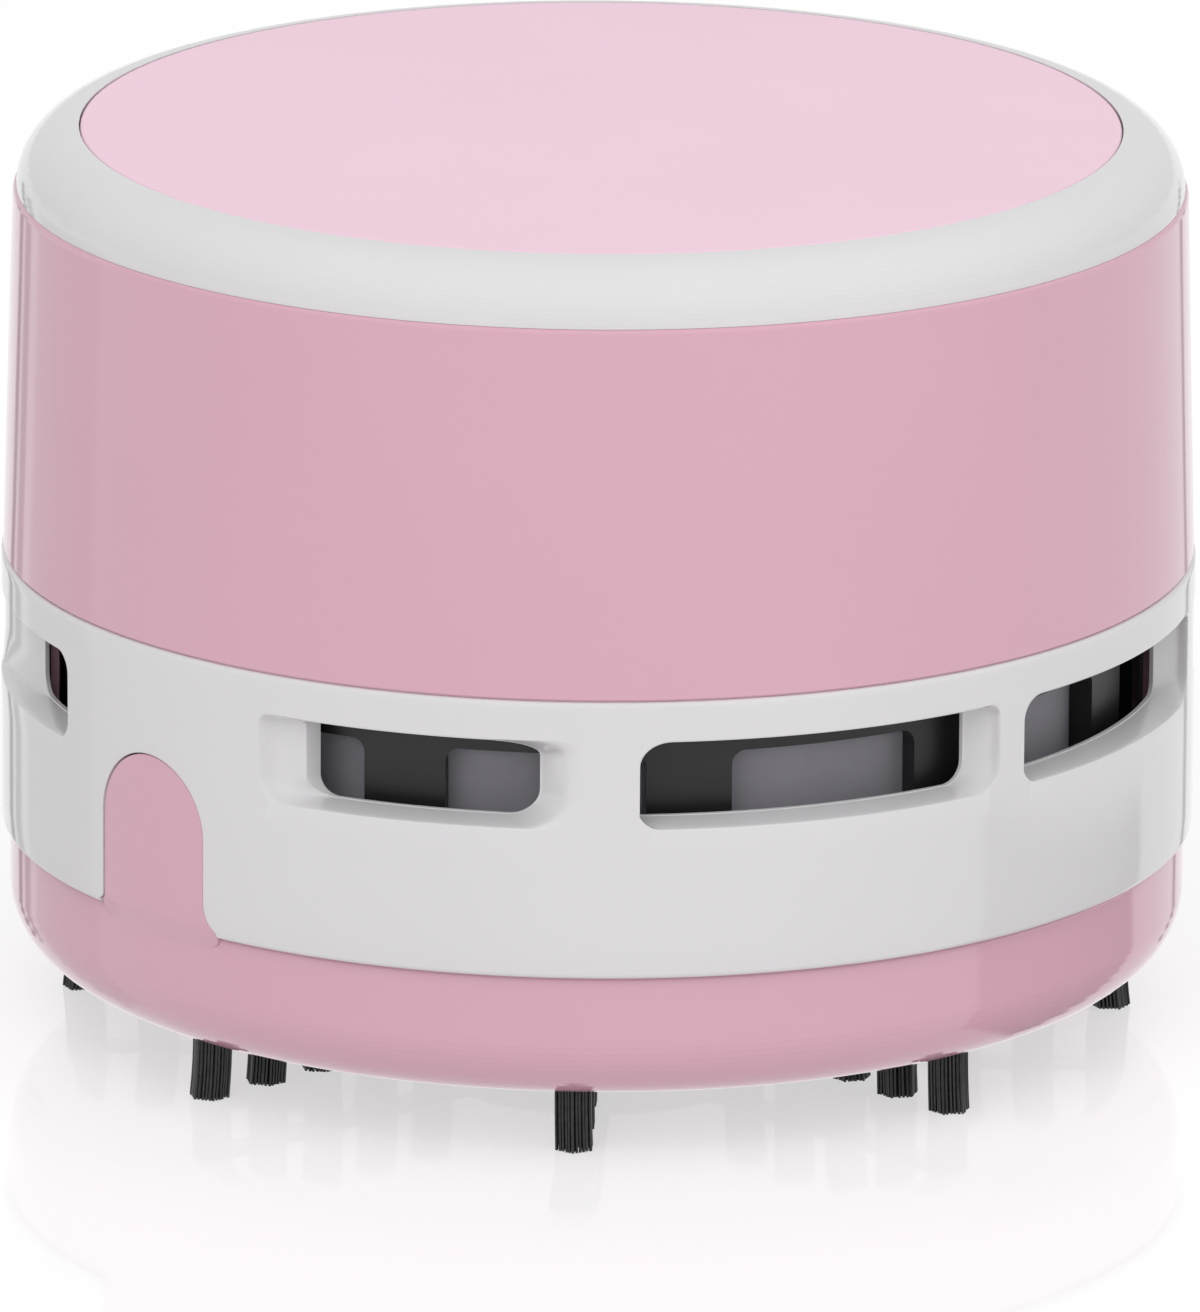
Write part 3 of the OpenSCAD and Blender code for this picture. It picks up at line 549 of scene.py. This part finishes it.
def notch_cell(bm, facing, half_turn):
    """The notch for a latch tab, with the wall round it."""
    rim = arch_loop(LATCH_GAP)
    lip = arch_loop(LATCH_GAP + NOTCH_RIM_R)
    up = [(-half_turn, z) for z in spread(CELL_LOW, CELL_HIGH, SIDE_STEPS)]
    over = [(a, CELL_HIGH) for a in spread(-half_turn, half_turn, TOP_STEPS)]
    down = [(half_turn, z) for z in spread(CELL_HIGH, CELL_LOW, SIDE_STEPS)]
    border = up + over + down + [(half_turn, CELL_LOW)]

    outer_steps, inner_steps = NOTCH_WALL_STEPS
    rows = wall_rows(border, lip, facing, BODY_R, outer_steps)[::-1]
    for out, down in rim_rounding():
        rows.append([
            pulled(facing, BODY_R - NOTCH_RIM_R * down, mix(q[0], p[0], out),
                   q[1] if q[1] < LATCH_ARC_Z else mix(q[1], p[1], out))
            for q, p in zip(rim, lip)
        ])
    rows.append([pulled(facing, RING_IN_R, x, z) for x, z in rim])
    rows += wall_rows(border, rim, facing, RING_IN_R, inner_steps)[1:]
    made = bridge(bm, rows, closed=False)

    turns = spread(-half_turn, half_turn, TOP_STEPS) + [half_turn]
    edge_band(bm, facing, turns, TOP_EDGE)
    for end in (0, -1):
        notch_foot(bm, facing, [row[end].co / MM for row in made])


def notch_foot(bm, facing, section):
    """Closes the ring's foot beside a notch, under the row ends that run round its wall."""
    turn = Matrix.Rotation(-math.radians(facing), 3, "Z")
    local = [turn @ Vector(p) for p in section]
    outer = [p for p in local if math.hypot(p.x, p.y) > BODY_R - ON_WALL]
    inner = [p for p in local if math.hypot(p.x, p.y) < RING_IN_R + ON_WALL]
    angles = [math.atan2(p.y, p.x) for p in outer]
    edge_band(bm, facing, angles, FOOT_EDGE)
    cap = [bm.verts.new(Vector(on_ring(facing, r, angles[-1], z)) * MM) for r, z in FOOT_EDGE]
    between = section[len(outer):len(section) - len(inner) + 1]
    wall = [bm.verts.new(Vector(p) * MM) for p in between]
    bm.faces.new(cap + wall[::-1])


def ear(bm, turn):
    """A tongue with a screw hole, inside the ring's top edge."""
    round_end = [(EAR_R * math.cos(a), EAR_R * math.sin(a))
                 for a in [math.pi * (0.5 + i / EAR_STEPS) for i in range(EAR_STEPS + 1)]]
    reach = RING_IN_R - SCREW_CIRCLE_R + EAR_SINK
    outline = round_end + [(reach, -EAR_R), (reach, EAR_R)]
    ways = [math.atan2(y, x) for x, y in outline]
    hole = [(SCREW_HOLE_R * math.cos(a), SCREW_HOLE_R * math.sin(a)) for a in ways]
    z0, z1 = Z_DRUM - EAR_T, Z_DRUM
    loops = [(hole, z0), (outline, z0), (outline, z1), (hole, z1), (hole, z0)]
    spin = Matrix.Rotation(math.radians(turn), 3, "Z")
    bridge(bm, [[tuple(spin @ Vector((SCREW_CIRCLE_R + x, y, z))) for x, y in loop]
                for loop, z in loops], closed=True)


# Each slot's opening and dish, its depths at the foot, right, top and left, how much of a wall
# the dish has at each, and the corners of both outlines, from the left of the foot round to
# the left of the top
SLOTS = {
    "short": ((-20.0, -10.25), (-33.05, -10.12), (DEEP, CRISP, CRISP, DEEP), (0, 0, 0, 0),
              (1.6, 0.5, 1.6, 0.4), (3.0, 1.5, 1.7, 0.8)),
    "outer": ((12.9, 27.15), (10.2, 31.2), (DEEP, DEEP, CRISP, SHALLOW), (0, 0, 0, 0.95),
              (1.5, 1.9, 1.6, 0.8), (2.2, 2.4, 1.0, 1.0)),
    "long": ((-26.88, -2.4), (-27.01, -1.0), (DEEP, DEEP, CRISP, CRISP), (0, 0.4, 0, 0),
             (0.5, 1.6, 0.4, 1.8), (1.5, 2.2, 1.0, 1.9)),
    "inner": ((1.4, 23.85), (1.27, 25.8), (DEEP, DEEP, CRISP, CRISP), (0, 0.4, 0, 0),
              (0.5, 0.9, 0.4, 1.8), (1.5, 2.2, 0.8, 1.9)),
}


def exhaust_ring():
    """The ring's wall in cells, one for each slot and each notch, twice round."""
    bm = bmesh.new()
    # Where the cells meet, from the direction that the notch or the slots face
    notch, near, split, far = (math.radians(a) for a in (11.5, 39.2, 48.5, 50.8))
    for half in (0, 180):
        face = 180 + half
        notch_cell(bm, face, notch)
        slot_cell(bm, face, (notch, split), SLOTS["outer"])
        slot_cell(bm, face, (-far, -notch), SLOTS["short"])
        face = 270 + half
        slot_cell(bm, face, (split - math.pi / 2, 0), SLOTS["long"])
        slot_cell(bm, face, (0, near), SLOTS["inner"])
    for turn in (0, 90, 180, 270):
        ear(bm, turn)
    mesh = finish_bmesh(bm, "exhaust_ring_shell", angle=40)
    piece("exhaust_ring_shell", mesh, "housing", white_gloss,
          ["exhaust_ring"])


# ---------------------------------------------------------------- bristles

ROWS = 8
TUFTS = 5
TUFT_PITCH = 5.3
LAST_TUFT_R = TRAY_R - 5.45
STRAND_R = 0.13
STRAND_PITCH = 0.27
TUFT_R = 1.36
# How far a tuft's tips lean outward, stray together, splay and stray one by one
LEAN = 0.35
DRIFT_OUT = 0.1
DRIFT_ASIDE = 0.15
SPLAY = 0.03
SCATTER = 0.02
# How unevenly the tips are cut, the longest cut and a strand's radius there
CUT_SPREAD = 0.03
CUT_LIMIT = 0.45
TAPER = 0.85
# How deep the strands stand in their strip, and the strip's half width and chamfer
ROOT_DEPTH = 0.5
STRIP_HALF = 1.6
STRIP_EDGE = 0.3
STRIP_STEPS = 10
# The range of a strand's turn about itself
STRAND_TURN = 6.3


def tuft_places():
    """Where the strands of a tuft stand: a hexagonal pack in a disc."""
    places = []
    reach = int(TUFT_R / STRAND_PITCH) + 2
    for j in range(-reach, reach + 1):
        for i in range(-reach, reach + 1):
            x = (i + (j % 2) / 2) * STRAND_PITCH
            y = j * STRAND_PITCH * math.sqrt(3) / 2
            if math.hypot(x, y) <= TUFT_R:
                places.append((x, y))
    return places


def strand(bm, root, tip, chance):
    """A thin rod that bends as it nears its cut tip."""
    steps, sides = 4, 5
    loops = []
    for k in range(steps + 1):
        t = k / steps
        bend = t * t
        x = mix(root[0], tip[0], bend)
        y = mix(root[1], tip[1], bend)
        z = mix(root[2], tip[2], t)
        r = STRAND_R * mix(1, TAPER, t)
        loops.append([
            (x + r * math.cos(a), y + r * math.sin(a), z)
            for a in [2 * math.pi * i / sides + chance for i in range(sides)]
        ])
    rows = bridge(bm, loops, closed=True)
    bm.faces.new(rows[0][::-1])
    bm.faces.new(rows[-1])


def brush_row(number):
    """One row of tufts on its strip, with the same chances at every run."""
    chance = random.Random(number)
    bm = bmesh.new()
    root_z = Z_TRAY + ROOT_DEPTH
    for tuft in range(TUFTS):
        centre = LAST_TUFT_R - tuft * TUFT_PITCH
        drift = (chance.uniform(-DRIFT_OUT, DRIFT_OUT),
                 chance.uniform(-DRIFT_ASIDE, DRIFT_ASIDE))
        for x, y in tuft_places():
            splay = 1 + SPLAY * (x * x + y * y) / TUFT_R ** 2
            root = (centre + x, y, root_z)
            # The middle strand of a tuft reaches the floor
            tip_z = 0 if (x, y) == (0, 0) else abs(chance.gauss(0, CUT_SPREAD))
            tip = (
                centre + LEAN + x * splay + drift[0] + chance.gauss(0, SCATTER),
                y * splay + drift[1] + chance.gauss(0, SCATTER),
                min(tip_z, CUT_LIMIT),
            )
            strand(bm, root, tip, chance.uniform(0, STRAND_TURN))
    inner = LAST_TUFT_R - (TUFTS - 1) * TUFT_PITCH - STRIP_HALF
    outer = LAST_TUFT_R + STRIP_HALF
    strip_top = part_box("brush_row_1")[1].z / MM
    plate(bm, inner, outer, STRIP_HALF, Z_TRAY, strip_top, STRIP_EDGE)
    bmesh.ops.rotate(bm, verts=bm.verts, matrix=Matrix.Rotation(
        math.radians((number - 1) * 360 / ROWS), 3, "Z"))
    mesh = finish_bmesh(bm, f"bristles_{number}", angle=50, weld=False)
    piece(f"bristles_{number}", mesh, "tray", bristle,
          [f"brush_row_{number}"])


def plate(bm, x0, x1, half, z0, z1, r):
    """A strip with round ends and a chamfered lower edge."""
    def outline(shrink):
        end = half - shrink
        right = arc(x1 - half, 0, end, end, -90, 90, STRIP_STEPS)
        left = arc(x0 + half, 0, end, end, 90, 270, STRIP_STEPS)
        return right + left
    loops = [[(x, y, z) for x, y in outline(s)]
             for s, z in ((r, z0), (0, z0 + r), (0, z1))]
    rows = bridge(bm, loops, closed=True)
    bm.faces.new(rows[0][::-1])
    bm.faces.new(rows[-1])


# ---------------------------------------------------------------- latches

def latch(name, node, facing):
    """A latch tab with its flared foot, which rolls down onto the tray's wall."""
    face_r = BODY_R - LATCH_INSET
    back_r = face_r - LATCH_T
    tray_skin = TRAY_R - SKIRT_SINK
    low = Z_SEAM - SKIRT_DROP
    arch = arch_loop(0)
    foot_left, foot_right = arch[0], arch[-1]
    skirt = []
    for k in range(1, SKIRT_STEPS):
        a = math.pi * k / SKIRT_STEPS
        x = mix(foot_right[0], foot_left[0], (1 - math.cos(a)) / 2)
        skirt.append((x, mix(foot_left[1], low, math.sin(a) ** 0.5)))
    outline = arch + skirt
    count = len(outline)

    def inward(i):
        (x0, z0), (x1, z1) = outline[i - 1], outline[(i + 1) % count]
        length = math.hypot(x1 - x0, z1 - z0)
        return ((z1 - z0) / length, (x0 - x1) / length)

    ways = [inward(i) for i in range(count)]

    def front(z):
        return mix(tray_skin, face_r, smoothstep(low, Z_SEAM + SKIRT_TOP, z))

    def shrunk(by):
        return [(x + n[0] * by, z + n[1] * by) for (x, z), n in zip(outline, ways)]

    def toward_middle(start, t):
        middle = [(0, min(max(z, Z_SEAM + LATCH_MIDDLE), LATCH_ARC_Z)) for _, z in start]
        return [(mix(p[0], m[0], t), mix(p[1], m[1], t)) for p, m in zip(start, middle)]

    border = shrunk(LATCH_EDGE_R)
    rows = []
    for k in range(LATCH_FACE_STEPS, 0, -1):
        face = toward_middle(border, k / LATCH_FACE_STEPS)
        rows.append([pulled(facing, front(z), x, z) for x, z in face])
    for out, down in rim_rounding(0):
        points = shrunk(LATCH_EDGE_R * out)
        rows.append([
            pulled(facing, max(front(z) - LATCH_EDGE_R * down, tray_skin), x, z)
            for x, z in points
        ])
    # The underside steps up over the tray's rim, from its skin to the latch's back
    back_z = Z_SEAM + LATCH_BACK_CLEAR
    for floor_z, radius in ((Z_SEAM - TRAY_EDGE_R, tray_skin),
                            (Z_SEAM + LATCH_CLEAR, TRAY_R - TRAY_EDGE_R),
                            (back_z, back_r)):
        rows.append([
            pulled(facing,
                   radius if z < floor_z + LATCH_NEAR else min(radius, back_r + LATCH_SHOULDER),
                   x, max(z, floor_z))
            for x, z in outline
        ])
    back = [(x, max(z, back_z)) for x, z in outline]
    for k in range(1, LATCH_BACK_STEPS + 1):
        inside = toward_middle(back, k / LATCH_BACK_STEPS)
        rows.append([pulled(facing, back_r, x, z) for x, z in inside])
    bm = bmesh.new()
    bridge(bm, rows, closed=True)
    mesh = finish_bmesh(bm, name, angle=40)
    piece(name, mesh, node, pink_gloss, [node])


# ---------------------------------------------------------------- seal, cloth and leads

SEAL_W = 1.9
SEAL_STEPS = 8
LEAD_R = 0.6


def filter_seal():
    """A foam ring with rounded walls."""
    low, high = (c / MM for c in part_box("filter_seal"))
    outer = high.x
    inner = outer - SEAL_W
    z0, z1 = low.z, high.z
    r = (z1 - z0) / 2
    profile = arc(outer - r, z0 + r, r, r, -90, 90, SEAL_STEPS)
    profile += arc(inner + r, z0 + r, r, r, 90, 270, SEAL_STEPS)
    mesh = lathe("foam_seal", profile, segments=192, angle=35)
    piece("foam_seal", mesh, "tray", foam, ["filter_seal"])


def lead(name, paths, material, node):
    """Round wires along smooth paths."""
    made = bpy.data.curves.new(name, "CURVE")
    made.dimensions = "3D"
    made.bevel_depth = LEAD_R * MM
    made.bevel_resolution = 3
    made.resolution_u = 12
    made.use_fill_caps = True
    for path in paths:
        spline = made.splines.new("BEZIER")
        spline.bezier_points.add(len(path) - 1)
        for point, at in zip(spline.bezier_points, path):
            point.co = Vector(at) * MM
            point.handle_left_type = "AUTO"
            point.handle_right_type = "AUTO"
    curve = bpy.data.objects.new(name + "_curve", made)
    scene.collection.objects.link(curve)
    mesh = bpy.data.meshes.new_from_object(curve)
    bpy.data.objects.remove(curve)
    mesh.name = name
    piece(name, smooth(mesh, angle=60), "housing", material, [node])


RED_PATHS = [
    [(13, 28.25, 43.3), (11, 29.25, 44.3), (8, 33.0, 45.8), (5, 34.5, 48.8), (2, 35.0, 48.8)],
    [(-3, 35.0, 49.8), (-3, 32.0, 52.8), (-2, 21.8, 59.1), (-0.5, 12.65, 59.4), (0, 8.15, 59.1)],
]
BLACK_PATHS = [
    [(-13, -28.25, 43.3), (-12, -29.55, 46.3), (-9, -28.05, 55.1), (-3, -16.65, 58.6),
     (-0.5, -11.65, 59.4), (0, -8.15, 59.1)],
]


# ---------------------------------------------------------------- dressing the CAD nodes

DRESS = {
    "dust_tray": pink_gloss, "drum_shell": pink_gloss, "cap_ring": white_gloss,
    "switch_knob": white_gloss, "top_disc": pink_satin, "intake_nozzle": clear_plastic,
    "filter_frame": black_plastic, "filter_mesh": filter_cloth, "motor_deck": black_plastic,
    "battery_holder": black_plastic, "switch_body": black_plastic, "deck_screws": steel,
    "motor_can": steel, "motor_shaft": steel, "motor_end_cap": nylon,
    "motor_terminals": brass, "battery_contacts": brass, "noise_capacitor": capacitor,
    "cell_left": cell_sleeve, "cell_right": cell_sleeve, "impeller": impeller_plastic,
}


def dress_nodes():
    for name, material in DRESS.items():
        mesh = frame["nodes"][name].data
        mesh.materials.clear()
        mesh.materials.append(material)


# ---------------------------------------------------------------- stage

# The camera's angles in degrees, its lens and film in millimetres, its sideways shift, its
# distance in metres and the height that it aims at in millimetres
CAMERA_TURN = -42.6
CAMERA_RISE = 15.65
CAMERA_ROLL = 0.36
CAMERA_LENS = 492.8
CAMERA_FILM = 36
CAMERA_SHIFT = 0.0016
CAMERA_DISTANCE = 1.3
AIM_HEIGHT = 25.66

# The floor: its half width in metres, its drop below the bristles in millimetres, how light it
# is to the light that it bounces and where it is seen, and the mirror's roughness and share
FLOOR_HALF = 6.0
FLOOR_DROP = 0.05
BOUNCE = 0.8
SEEN_LIGHT = 0.4
SEEN_GLOW = 0.735
MIRROR_ROUGHNESS = 0.03
MIRROR_SHARE = 0.2

# The world's strength: for the light on the object, and where it is seen
WORLD_LIGHT = 0.62
WORLD_SEEN = 1.0

# Softboxes: place and size in metres, and power in watts
LIGHTS = (
    ("key", (-0.9, -0.6, 0.8), (1.3, 1.3), 7.5),
    ("fill", (0.6, -1.1, 0.7), (1.3, 1.3), 3.5),
    ("overhead", (-0.1, -0.2, 1.5), (2.0, 2.0), 7.5),
)
LIGHTS_AIM = (0, 0, 0.035)

# Dark bands painted on the studio floor for glossy rays only, placed from the camera's angle
# so that the object's walls show them as painted reflections, dark lines as thin flags beside
# the object would give: the angle of the wall that mirrors one, from the camera's side to the
# left, the half angle that it covers there and its soft edge, where it starts and ends in
# millimetres from the wall and how much white it leaves
REFLECTION_BANDS = (
    (78.6, 0.7, 0.4, (16, 500), 0.3),
    (75.4, 0.9, 0.5, (16, 500), 0.5),
    (64.3, 6.7, 1.2, (0, 500), 0.8),
    (-79.5, 0.6, 0.4, (16, 500), 0.35),
    (-51.5, 12.8, 1.2, (0, 62), 0.35),
)
# How softly a band starts and ends, in millimetres
BAND_START_SOFT = 2
BAND_END_SOFT = 20


def light_path(tree, *kinds):
    """1 for rays of any of these kinds."""
    path = tree.nodes.new("ShaderNodeLightPath")
    total = path.outputs[kinds[0]]
    for kind in kinds[1:]:
        total = math_of(tree, "MAXIMUM", total, path.outputs[kind])
    return total


def eased(tree, value, start, end):
    """0 at the start and beyond it, 1 at the end and beyond it, smooth between."""
    node = tree.nodes.new("ShaderNodeMapRange")
    node.interpolation_type = "SMOOTHSTEP"
    node.inputs["From Min"].default_value = start
    node.inputs["From Max"].default_value = end
    tree.links.new(value, node.inputs["Value"])
    return node.outputs["Result"]


def painted_reflection_light(tree):
    """Painted reflection: how white the floor looks in the gloss, with dark bands set from the
    camera.
    """
    coordinates = tree.nodes.new("ShaderNodeTexCoord")
    toward = math.radians(CAMERA_TURN - 90)
    total = 1.0

    def along(direction):
        node = tree.nodes.new("ShaderNodeVectorMath")
        node.operation = "DOT_PRODUCT"
        tree.links.new(coordinates.outputs["Object"], node.inputs[0])
        node.inputs[1].default_value = (math.cos(direction), math.sin(direction), 0)
        return node.outputs["Value"]

    # Each band darkens the floor in the gloss only, a painted reflection on the wall at its
    # angle
    for angle, half, soft, (start, end), left in REFLECTION_BANDS:
        wall = math.radians(abs(angle))
        side = -1 if angle > 0 else 1
        foot = BODY_R * math.cos(wall)
        out = along(toward + side * 2 * wall)
        off = along(toward + side * (2 * wall - math.pi / 2))
        away = math_of(tree, "ABSOLUTE",
                       math_of(tree, "SUBTRACT", off, BODY_R * math.sin(wall) * MM))
        wide = math_of(tree, "MULTIPLY_ADD", out, 2.0, -foot * MM)
        inside = eased(tree, math_of(tree, "DIVIDE", away, wide),
                       math.radians(half + soft), math.radians(half))
        began = eased(tree, out, (foot + start - BAND_START_SOFT) * MM, (foot + start) * MM)
        ended = eased(tree, out, (foot + end + BAND_END_SOFT) * MM, (foot + end) * MM)
        mask = math_of(tree, "MULTIPLY", math_of(tree, "MULTIPLY", began, ended), inside)
        kept = math_of(tree, "MULTIPLY_ADD", mask, left - 1, 1.0)
        total = math_of(tree, "MULTIPLY", total, kept)
    return total


def floor():
    """A white floor: it keeps the object's shadow and a faint reflection of it."""
    corners = [(-1, -1), (1, -1), (1, 1), (-1, 1)]
    mesh = bpy.data.meshes.new("floor")
    mesh.from_pydata([(x * FLOOR_HALF, y * FLOOR_HALF, 0) for x, y in corners],
                     [], [(0, 1, 2, 3)])
    made = bpy.data.objects.new("floor", mesh)
    scene.collection.objects.link(made)
    made.location.z = -FLOOR_DROP * MM
    material = bpy.data.materials.new("floor")
    material.use_nodes = True
    tree = material.node_tree
    tree.nodes.clear()

    def new(kind):
        return tree.nodes.new("ShaderNode" + kind)

    def link(source, target):
        tree.links.new(source.outputs[0], target)

    plain = new("BsdfDiffuse")
    plain.inputs["Color"].default_value = (BOUNCE, BOUNCE, BOUNCE, 1)
    shaded = new("BsdfDiffuse")
    shaded.inputs["Color"].default_value = (SEEN_LIGHT, SEEN_LIGHT, SEEN_LIGHT, 1)
    white = new("Emission")
    white.inputs["Strength"].default_value = SEEN_GLOW
    lifted = new("AddShader")
    link(shaded, lifted.inputs[0])
    link(white, lifted.inputs[1])
    mirror = new("BsdfGlossy")
    mirror.inputs["Roughness"].default_value = MIRROR_ROUGHNESS
    shown = new("MixShader")
    shown.inputs["Fac"].default_value = MIRROR_SHARE
    link(lifted, shown.inputs[1])
    link(mirror, shown.inputs[2])
    # Painted reflection: for glossy rays the floor glows with dark bands, which show as dark
    # lines on the object's walls
    painted_reflection_glow = new("Emission")
    tree.links.new(painted_reflection_light(tree), painted_reflection_glow.inputs["Strength"])

    seen = new("MixShader")
    tree.links.new(light_path(tree, "Is Camera Ray", "Is Transmission Ray"), seen.inputs["Fac"])
    link(plain, seen.inputs[1])
    link(shown, seen.inputs[2])
    whole = new("MixShader")
    tree.links.new(light_path(tree, "Is Glossy Ray"), whole.inputs["Fac"])
    link(seen, whole.inputs[1])
    link(painted_reflection_glow, whole.inputs[2])
    link(whole, new("OutputMaterial").inputs["Surface"])
    mesh.materials.append(material)


def world():
    """An even pale light, and white where it is seen or mirrored."""
    made = bpy.data.worlds.new("studio")
    scene.world = made
    made.use_nodes = True
    tree = made.node_tree
    tree.nodes.clear()
    output = tree.nodes.new("ShaderNodeOutputWorld")
    lit = tree.nodes.new("ShaderNodeBackground")
    lit.inputs["Strength"].default_value = WORLD_LIGHT
    seen = tree.nodes.new("ShaderNodeBackground")
    seen.inputs["Strength"].default_value = WORLD_SEEN
    whole = tree.nodes.new("ShaderNodeMixShader")
    mask = light_path(tree, "Is Camera Ray", "Is Glossy Ray", "Is Transmission Ray")
    tree.links.new(mask, whole.inputs["Fac"])
    tree.links.new(lit.outputs[0], whole.inputs[1])
    tree.links.new(seen.outputs[0], whole.inputs[2])
    tree.links.new(whole.outputs[0], output.inputs["Surface"])


def softbox(name, place, size, power):
    """A broad light that faces the object and shows in no gloss."""
    data = bpy.data.lights.new(name, "AREA")
    data.shape = "RECTANGLE"
    data.size, data.size_y = size
    data.energy = power
    made = bpy.data.objects.new(name, data)
    scene.collection.objects.link(made)
    made.location = place
    aim = Vector(LIGHTS_AIM) - Vector(place)
    made.rotation_euler = aim.to_track_quat("-Z", "Y").to_euler()
    made.visible_glossy = False


def camera():
    """The photograph's view."""
    azimuth, elevation, roll = (math.radians(a) for a in (CAMERA_TURN, CAMERA_RISE, CAMERA_ROLL))
    aim = Vector((0, 0, AIM_HEIGHT * MM))
    back = Vector((
        math.sin(azimuth) * math.cos(elevation),
        -math.cos(azimuth) * math.cos(elevation),
        math.sin(elevation),
    ))
    data = bpy.data.cameras.new("camera")
    data.sensor_width = CAMERA_FILM
    data.lens = CAMERA_LENS
    data.shift_x = CAMERA_SHIFT
    data.clip_start, data.clip_end = 0.05, 20
    made = bpy.data.objects.new("camera", data)
    scene.collection.objects.link(made)
    made.location = aim + back * CAMERA_DISTANCE
    made.rotation_mode = "QUATERNION"
    made.rotation_quaternion = (
        (-back).to_track_quat("-Z", "Y") @ Matrix.Rotation(roll, 3, "Z").to_quaternion()
    )
    scene.camera = made


camera()
floor()
world()
for light in LIGHTS:
    softbox(*light)
dress_nodes()
exhaust_ring()
for number in range(1, ROWS + 1):
    brush_row(number)
latch("latch_tab_left", "latch_left", 180)
latch("latch_tab_right", "latch_right", 0)
filter_seal()
lead("leads_red", RED_PATHS, red_sleeve, "red_leads")
lead("lead_black", BLACK_PATHS, black_sleeve, "black_lead")
